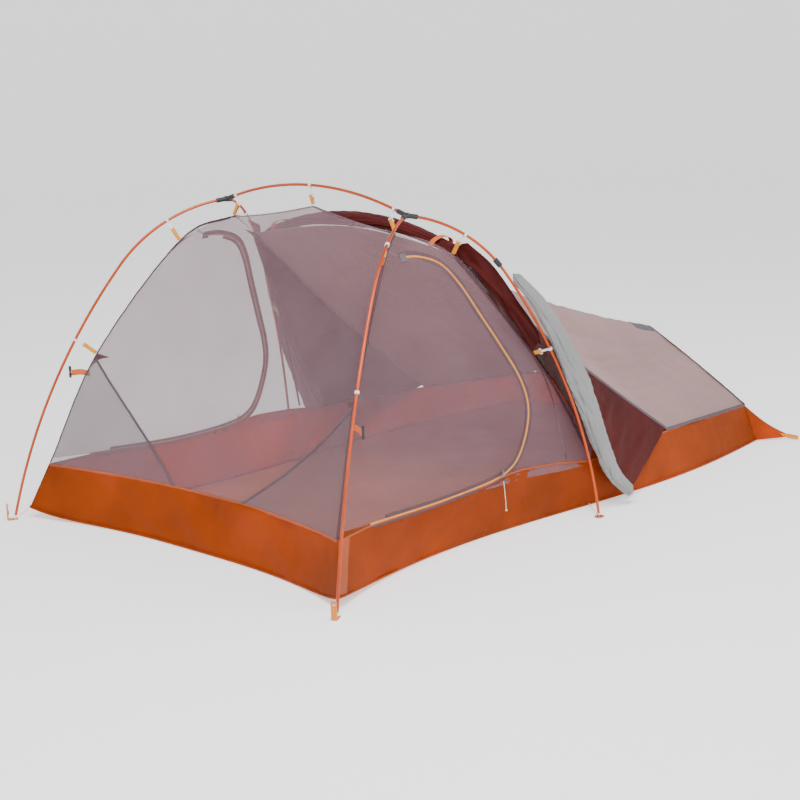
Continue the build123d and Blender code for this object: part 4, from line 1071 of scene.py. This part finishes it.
clear_nylon = moulded_finish("clear_nylon", (0.86, 0.82, 0.82), 0.2, alpha=0.82)
refinish(["ridge_clips", "head_leg_clips", "rear_leg_clips"], clear_nylon)
sites = []
for name, side in SIDES:
    spot = ridge_point(side * 0.355)
    heading = ridge_point(side * 0.357) - spot
    sites.append(("ridge_" + name, spot, heading, (0.665, side * 0.364, 0.954), "ridge_straps"))
    for key, leg, stretch, part, corner, target in (
            ("head_high", HEAD_LEG, 0, 0.5, (0.512, 0.458, 0.882), "head_leg_straps"),
            ("head_low", HEAD_LEG, 1, 0.31, (0.250, 0.588, 0.533), "head_leg_straps"),
            ("rear_high", REAR_LEG, 0, 0.53, (0.832, 0.447, 0.874), "rear_leg_straps"),
            ("rear_low", REAR_LEG, 1, 0.33, (1.057, 0.577, 0.548), "rear_leg_straps")):
        spot, heading = leg_point(leg, side, stretch, part)
        sites.append((key + "_" + name, spot, heading, (corner[0], side * corner[1], corner[2]), target))
sites.append(("ridge_top", ridge_point(0.006), np.array([0, 1.0, 0]), MESH_TOP, "ridge_straps"))
stood_for = set()
for name, spot, heading, corner, target in sites:
    heading = heading / np.linalg.norm(heading)
    corner = np.array(corner)
    pull = corner - spot
    pull = pull - heading * (pull @ heading)
    pull /= np.linalg.norm(pull)
    start = spot + pull * CLIP_REACH
    along = (corner - start) / np.linalg.norm(corner - start)
    across = heading - along * (heading @ along)
    across /= np.linalg.norm(across)
    proud = np.cross(across, along)
    line = place(smoothed([corner - along * 0.004 + proud * 0.0012, start + along * 0.014 + proud * 0.0022,
                           start + along * 0.002 + proud * 0.0030, start - along * 0.0052,
                           start + along * 0.002 - proud * 0.0030,
                           start + along * 0.014 - proud * 0.0022,
                           corner - along * 0.004 - proud * 0.0012], 50))
    grid = band_along(line, across, 0.0062)
    piece = panel("strap_" + name, grid, yellow_webbing, thick=0.0011, inside=line.mean(0))
    if target not in stood_for:
        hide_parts(target)
        stood_for.add(target)


def corner_gore(name, corner, first, second, reach, lift):
    """Doubled corner of the mesh: a triangle from the corner along two lines of the panel,
    with its far edge curved in."""
    a = np.linspace(0.02, 1, 12)[:, None, None]
    b = np.linspace(0, 1, 12)[None, :, None]
    first, second = (np.asarray(w) / np.linalg.norm(w) for w in (first, second))
    way = first + (second - first) * b
    hollow = 1 - 0.30 * np.sin(np.pi * b)
    grid = place(np.asarray(corner) + way * a * reach * hollow) + lift
    return panel(name, grid, patch_maroon)


for name, side in SIDES:
    flip = np.array([1, side, 1])
    low, high, hub = (np.array(p) * flip for p in HEAD_SEAM[1:])
    out = np.array([-0.0012, side * 0.0012, 0.0012])
    corner_gore("gore_head_low_" + name, low, (0.3, -side * 0.9, -0.2), (-0.158, side * 0.076, -0.351),
                0.050, out * [1, 0.2, 1])
    corner_gore("gore_head_high_" + name, high, (0.153, -side * 0.094, 0.072),
                (-0.262, side * 0.130, -0.349), 0.048, out)
    corner_gore("gore_hub_" + name, hub, (0.014, -side * 0.364, 0.057),
                (-0.153, side * 0.094, -0.072), 0.045, out)
    rear = np.array((0.832, side * 0.447, 0.874))
    corner_gore("gore_rear_high_" + name, rear, (-0.2, -side * 0.05, 0.06), (0.10, side * 0.06, -0.16),
                0.060, [0.0, side * 0.0016, 0.0016])
    rear = np.array((1.057, side * 0.577, 0.548))
    corner_gore("gore_rear_low_" + name, rear, (-0.10, -side * 0.06, 0.16), (0.10, side * 0.02, -0.17),
                0.055, [0.0, side * 0.0016, 0.0016])

TAB_BASE, TAB_OUT = np.array((0.222, 0.602, 0.470)), np.array((-0.33, 0.944, 0.0))
for name, side in SIDES:
    flip = np.array([1, side, 1])
    base, out = TAB_BASE * flip, TAB_OUT * flip / np.linalg.norm(TAB_OUT)
    line = place([base + out * d + [0, 0, 0.003 * math.sin(d * 60)] for d in np.linspace(-0.004, 0.066, 30)])
    grid = band_along(line, [0, 0, 1.0], 0.0095)
    piece = panel("door_tab_" + name, grid, orange_tape, thick=0.0014,
                  inside=line.mean(0) + [1, 0, 0])
    if name == "right":
        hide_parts("tie_tabs")
    # Grey cloth pocket that covers the end of the zip at the top of the door.
    pocket = zip_band(side, -0.012, 0.012, 24, 0.984, 1.0, 0.0035, 9)
    panel("zip_pocket_" + name, pocket, edge_grey)

# --- Maroon side panels ---------------------------------------------------------------
# The fly's lower panels, coated maroon nylon: each fills the triangle between the rear seam
# and the roof's side seam, and hangs outside the wall down to the ground.
FLY_MAROON = (0.058, 0.008, 0.0075)
REAR_HIGH, REAR_LOW = (0.832, 0.447, 0.874), (1.057, 0.577, 0.548)
fly_cloth = cloth_finish("fly_maroon", FLY_MAROON, rough=0.6, gloss=0.08, through=0.05, sheen=0.2,
                         drift=0.25, coarse=18)


def side_panel_grid(side, rows, cols):
    """Straight strips between a front line, which stands out to the ground, and the roof's
    side seam, each line smooth through its own few points."""
    t = np.linspace(0.0, 0.985, rows)
    flip = np.array([1, side, 1])
    front = np.array([REAR_HIGH, REAR_LOW, (1.196, 0.621, 0.340), (1.318, 0.648, 0.150),
                      (1.462, 0.660, 0.012)]) * flip
    back = np.stack([np.array(REAR_HIGH) * flip, roof_low_edge(1.180, side), roof_low_edge(1.500, side),
                     wall_top(np.array(1.798), side)])
    a = smooth_line(front, t) + [0.002, side * 0.004, 0]
    b = smooth_line(back, t) + [0, side * 0.004, 0]
    return place(a[:, None] + (b - a)[:, None] * np.linspace(0, 1, cols)[None, :, None])


for name, side in SIDES:
    grid = side_panel_grid(side, 130, 90)
    uv = arc_lengths(grid)
    soft = hem(130, 90, 0.5)
    folds = 0.006 * waves(uv, 0.13, 111, 5, lean=0.25) + 0.006 * creases(uv, 0.22, 112, 0.2)
    folds = folds + 0.003 * waves(uv, 0.06, 113, 6, lean=0.1)
    grid = rumpled(grid, soft * folds)
    piece = panel("side_cloth_" + name, grid, fly_cloth)
    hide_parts("side_panel_" + name)

# --- Rolled fly -----------------------------------------------------------------------
# The vestibule fly is thrown back and rolled: a maroon roll runs over the top behind the
# ridge and down inside the rear legs, and its grey body hangs behind them to the ground.
ROLL_HALF_WIDTH, ROLL_HALF_HEIGHT = 0.042, 0.019


def along_sizes(sizes, t):
    return smooth_line([(*pair, 0.0) for pair in sizes], t)


def roll(points, sizes, wide, rows, cols, depth, seed, twist=0.6):
    """Gathered cloth round a smooth line: flattened rings whose radius is cut by folds that
    run lengthwise, wander with a slow twist and break up along the way."""
    t = np.linspace(0, 1, rows)
    line = smooth_line(points, t)
    ahead = np.gradient(line, axis=0)
    ahead /= np.linalg.norm(ahead, axis=1, keepdims=True)
    high = np.cross(ahead, wide)
    high /= np.linalg.norm(high, axis=1, keepdims=True)
    flat = np.cross(high, ahead)
    size = along_sizes(sizes, t)
    angle = np.linspace(0, 2 * np.pi, cols, endpoint=False)[None, :]
    pick = np.random.default_rng(seed)
    turn = angle + twist * np.sin(2 * np.pi * t + pick.uniform(0, 6))[:, None]
    cut = 0.0
    for count in (3, 5, 8, 13):
        wander = 1.3 * np.sin(2 * np.pi * t * pick.uniform(1.0, 3.5) + pick.uniform(0, 6))[:, None]
        valley = (1 - np.abs(np.sin(turn * count / 2 + wander))) ** 2
        cut = cut + valley * pick.uniform(0.5, 1.0) / count**0.35
    beat = 0.5 + 0.5 * np.sin(2 * np.pi * t * 9 + 2 * np.sin(2 * np.pi * t * 2.3))[:, None]
    across = 0.02 * np.sin(2 * np.pi * t * 31)[:, None] * np.sin(angle * 2 + 1)
    radius = 1.02 - depth * cut * (0.7 + 0.3 * beat) + across
    ends = np.minimum(1, np.minimum(t, 1 - t) * 40 + 0.05)[:, None]
    radius = radius * ends
    ring = flat[:, None] * (size[:, None, :1] * (np.cos(angle) * radius)[..., None])
    upright = high[:, None] * (size[:, None, 1:2] * (np.sin(angle) * radius)[..., None])
    return place(line[:, None] + ring + upright)


def soft_piece(name, grid, material, target=None, body=TENT):
    """A closed bundle from rings of points, with its two ends gathered to a point."""
    caps = [np.broadcast_to(ring.mean(0), ring.shape) for ring in (grid[0], grid[-1])]
    full = np.concatenate([[caps[0]], grid, [caps[1]]])
    piece = link(name, grid_mesh(name, full, arc_lengths(full), loop_round=True))
    made = piece.data
    shell = bmesh.new()
    shell.from_mesh(made)
    bmesh.ops.remove_doubles(shell, verts=shell.verts, dist=1e-6)
    bmesh.ops.recalc_face_normals(shell, faces=shell.faces)
    shell.to_mesh(made)
    shell.free()
    made.polygons.foreach_set("use_smooth", np.ones(len(made.polygons), bool))
    made.materials.append(material)
    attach(piece, body)
    if target:
        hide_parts(target)
    return piece


half = [(0.872, 0.190, 0.936), (0.878, 0.370, 0.893), (0.905, 0.478, 0.838), (0.965, 0.528, 0.755),
        (1.022, 0.572, 0.662), (1.064, 0.606, 0.575)]
over = [(x, -y, z) for x, y, z in half[::-1]] + [(0.868, 0, 0.948)] + half
thin = (0.016, 0.012)
mid = (ROLL_HALF_WIDTH * 0.8, ROLL_HALF_HEIGHT * 0.8)
full = (ROLL_HALF_WIDTH, ROLL_HALF_HEIGHT * 1.3)
grid = roll(over, [thin, mid, full, full, full, mid, thin], (1.0, 0, 0), 420, 90, 0.26, 121)
soft_piece("fly_roll", grid, fly_cloth, "fly_over")

for name, side in SIDES:
    flip = np.array([1, side, 1])
    t = np.linspace(0, 1, 110)
    inner = smooth_line(np.array([(0.842, 0.432, 0.900), (0.905, 0.492, 0.796), (0.985, 0.540, 0.672),
                                  (1.052, 0.580, 0.556)]) * flip, t)
    outer = np.array([leg_point(REAR_LEG, side, 0, 0.60)[0], leg_point(REAR_LEG, side, 0, 0.90)[0],
                      leg_point(REAR_LEG, side, 1, 0.12)[0], leg_point(REAR_LEG, side, 1, 0.28)[0]])
    outer = smooth_line(outer, t) - np.array([0.004, side * 0.014, 0.012])
    curtain = place(inner[:, None] + (outer - inner)[:, None] * np.linspace(0, 1, 60)[None, :, None])
    uv = arc_lengths(curtain)
    hang = 0.006 * waves(uv, 0.05, 141, 6, lean=np.pi / 2 + 0.2) + 0.005 * creases(uv, 0.09, 142, np.pi / 2)
    curtain = rumpled(curtain, hem(110, 60, 0.4) * hang)
    piece = panel("fly_curtain_" + name, curtain, fly_cloth)

fly_light = cloth_finish("fly_grey", (0.24, 0.24, 0.243), rough=0.42, through=0.15, sheen=0.2,
                         drift=0.10, coarse=18)
for name, side in SIDES:
    drop = [(0.986, side * 0.556, 0.806), (1.056, side * 0.608, 0.702), (1.125, side * 0.645, 0.560),
            (1.195, side * 0.668, 0.410), (1.252, side * 0.680, 0.268), (1.330, side * 0.690, 0.120),
            (1.420, side * 0.702, 0.036)]
    sizes = [(0.026, 0.014), (0.046, 0.020), (0.052, 0.020), (0.044, 0.020), (0.042, 0.020),
             (0.038, 0.018), (0.022, 0.014)]
    grid = roll(drop, sizes, (1.0, 0, -0.3), 320, 90, 0.30, 131, twist=0.35)
    soft_piece("fly_body_" + name, grid, fly_light, "fly_drop_" + name)

# --- Wraps and ties -------------------------------------------------------------------
# Black hook-and-loop wraps hold the fly to the rear legs, and an orange tape goes round the
# roll beside each hub.
POLE_R = 0.0045
wrap_cloth = webbing_finish("black_wrap", (0.02, 0.02, 0.022))
for name, side in SIDES:
    spot, heading = leg_point(REAR_LEG, side, 0, 0.90)
    angle = np.linspace(0, 2 * np.pi * 1.28, 70)
    radius = POLE_R + 0.0012 + 0.0018 * angle / (2 * np.pi)
    wide = np.cross(heading, [0, 0, 1.0])
    wide /= np.linalg.norm(wide)
    high = np.cross(heading, wide)
    line = place(spot + radius[:, None] * (wide * np.cos(angle)[:, None] + high * np.sin(angle)[:, None]))
    grid = band_along(line, heading, 0.0135)
    piece = panel("pole_wrap_" + name, grid, wrap_cloth, thick=0.0014, inside=line.mean(0))
    if name == "right":
        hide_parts("pole_wraps")
    a, b = np.array((0.872, side * 0.190, 0.936)), np.array((0.878, side * 0.370, 0.893))
    ahead_tie = (b - a) / np.linalg.norm(b - a)
    high = np.cross(ahead_tie, [1.0, 0, 0]) * -side
    angle = np.linspace(math.radians(-15), math.radians(195), 60)[:, None]
    ring = (a + (b - a) * 0.93 + np.array([1.0, 0, 0]) * (ROLL_HALF_WIDTH + 0.005) * np.cos(angle)
            + high * (ROLL_HALF_HEIGHT + 0.005) * np.sin(angle))
    grid = band_along(place(ring), ahead_tie, 0.009)
    piece = panel("fly_tie_" + name, grid, orange_tape, thick=0.0014,
                  inside=ring.mean(0) + [SHIFT_X, 0, -0.05])
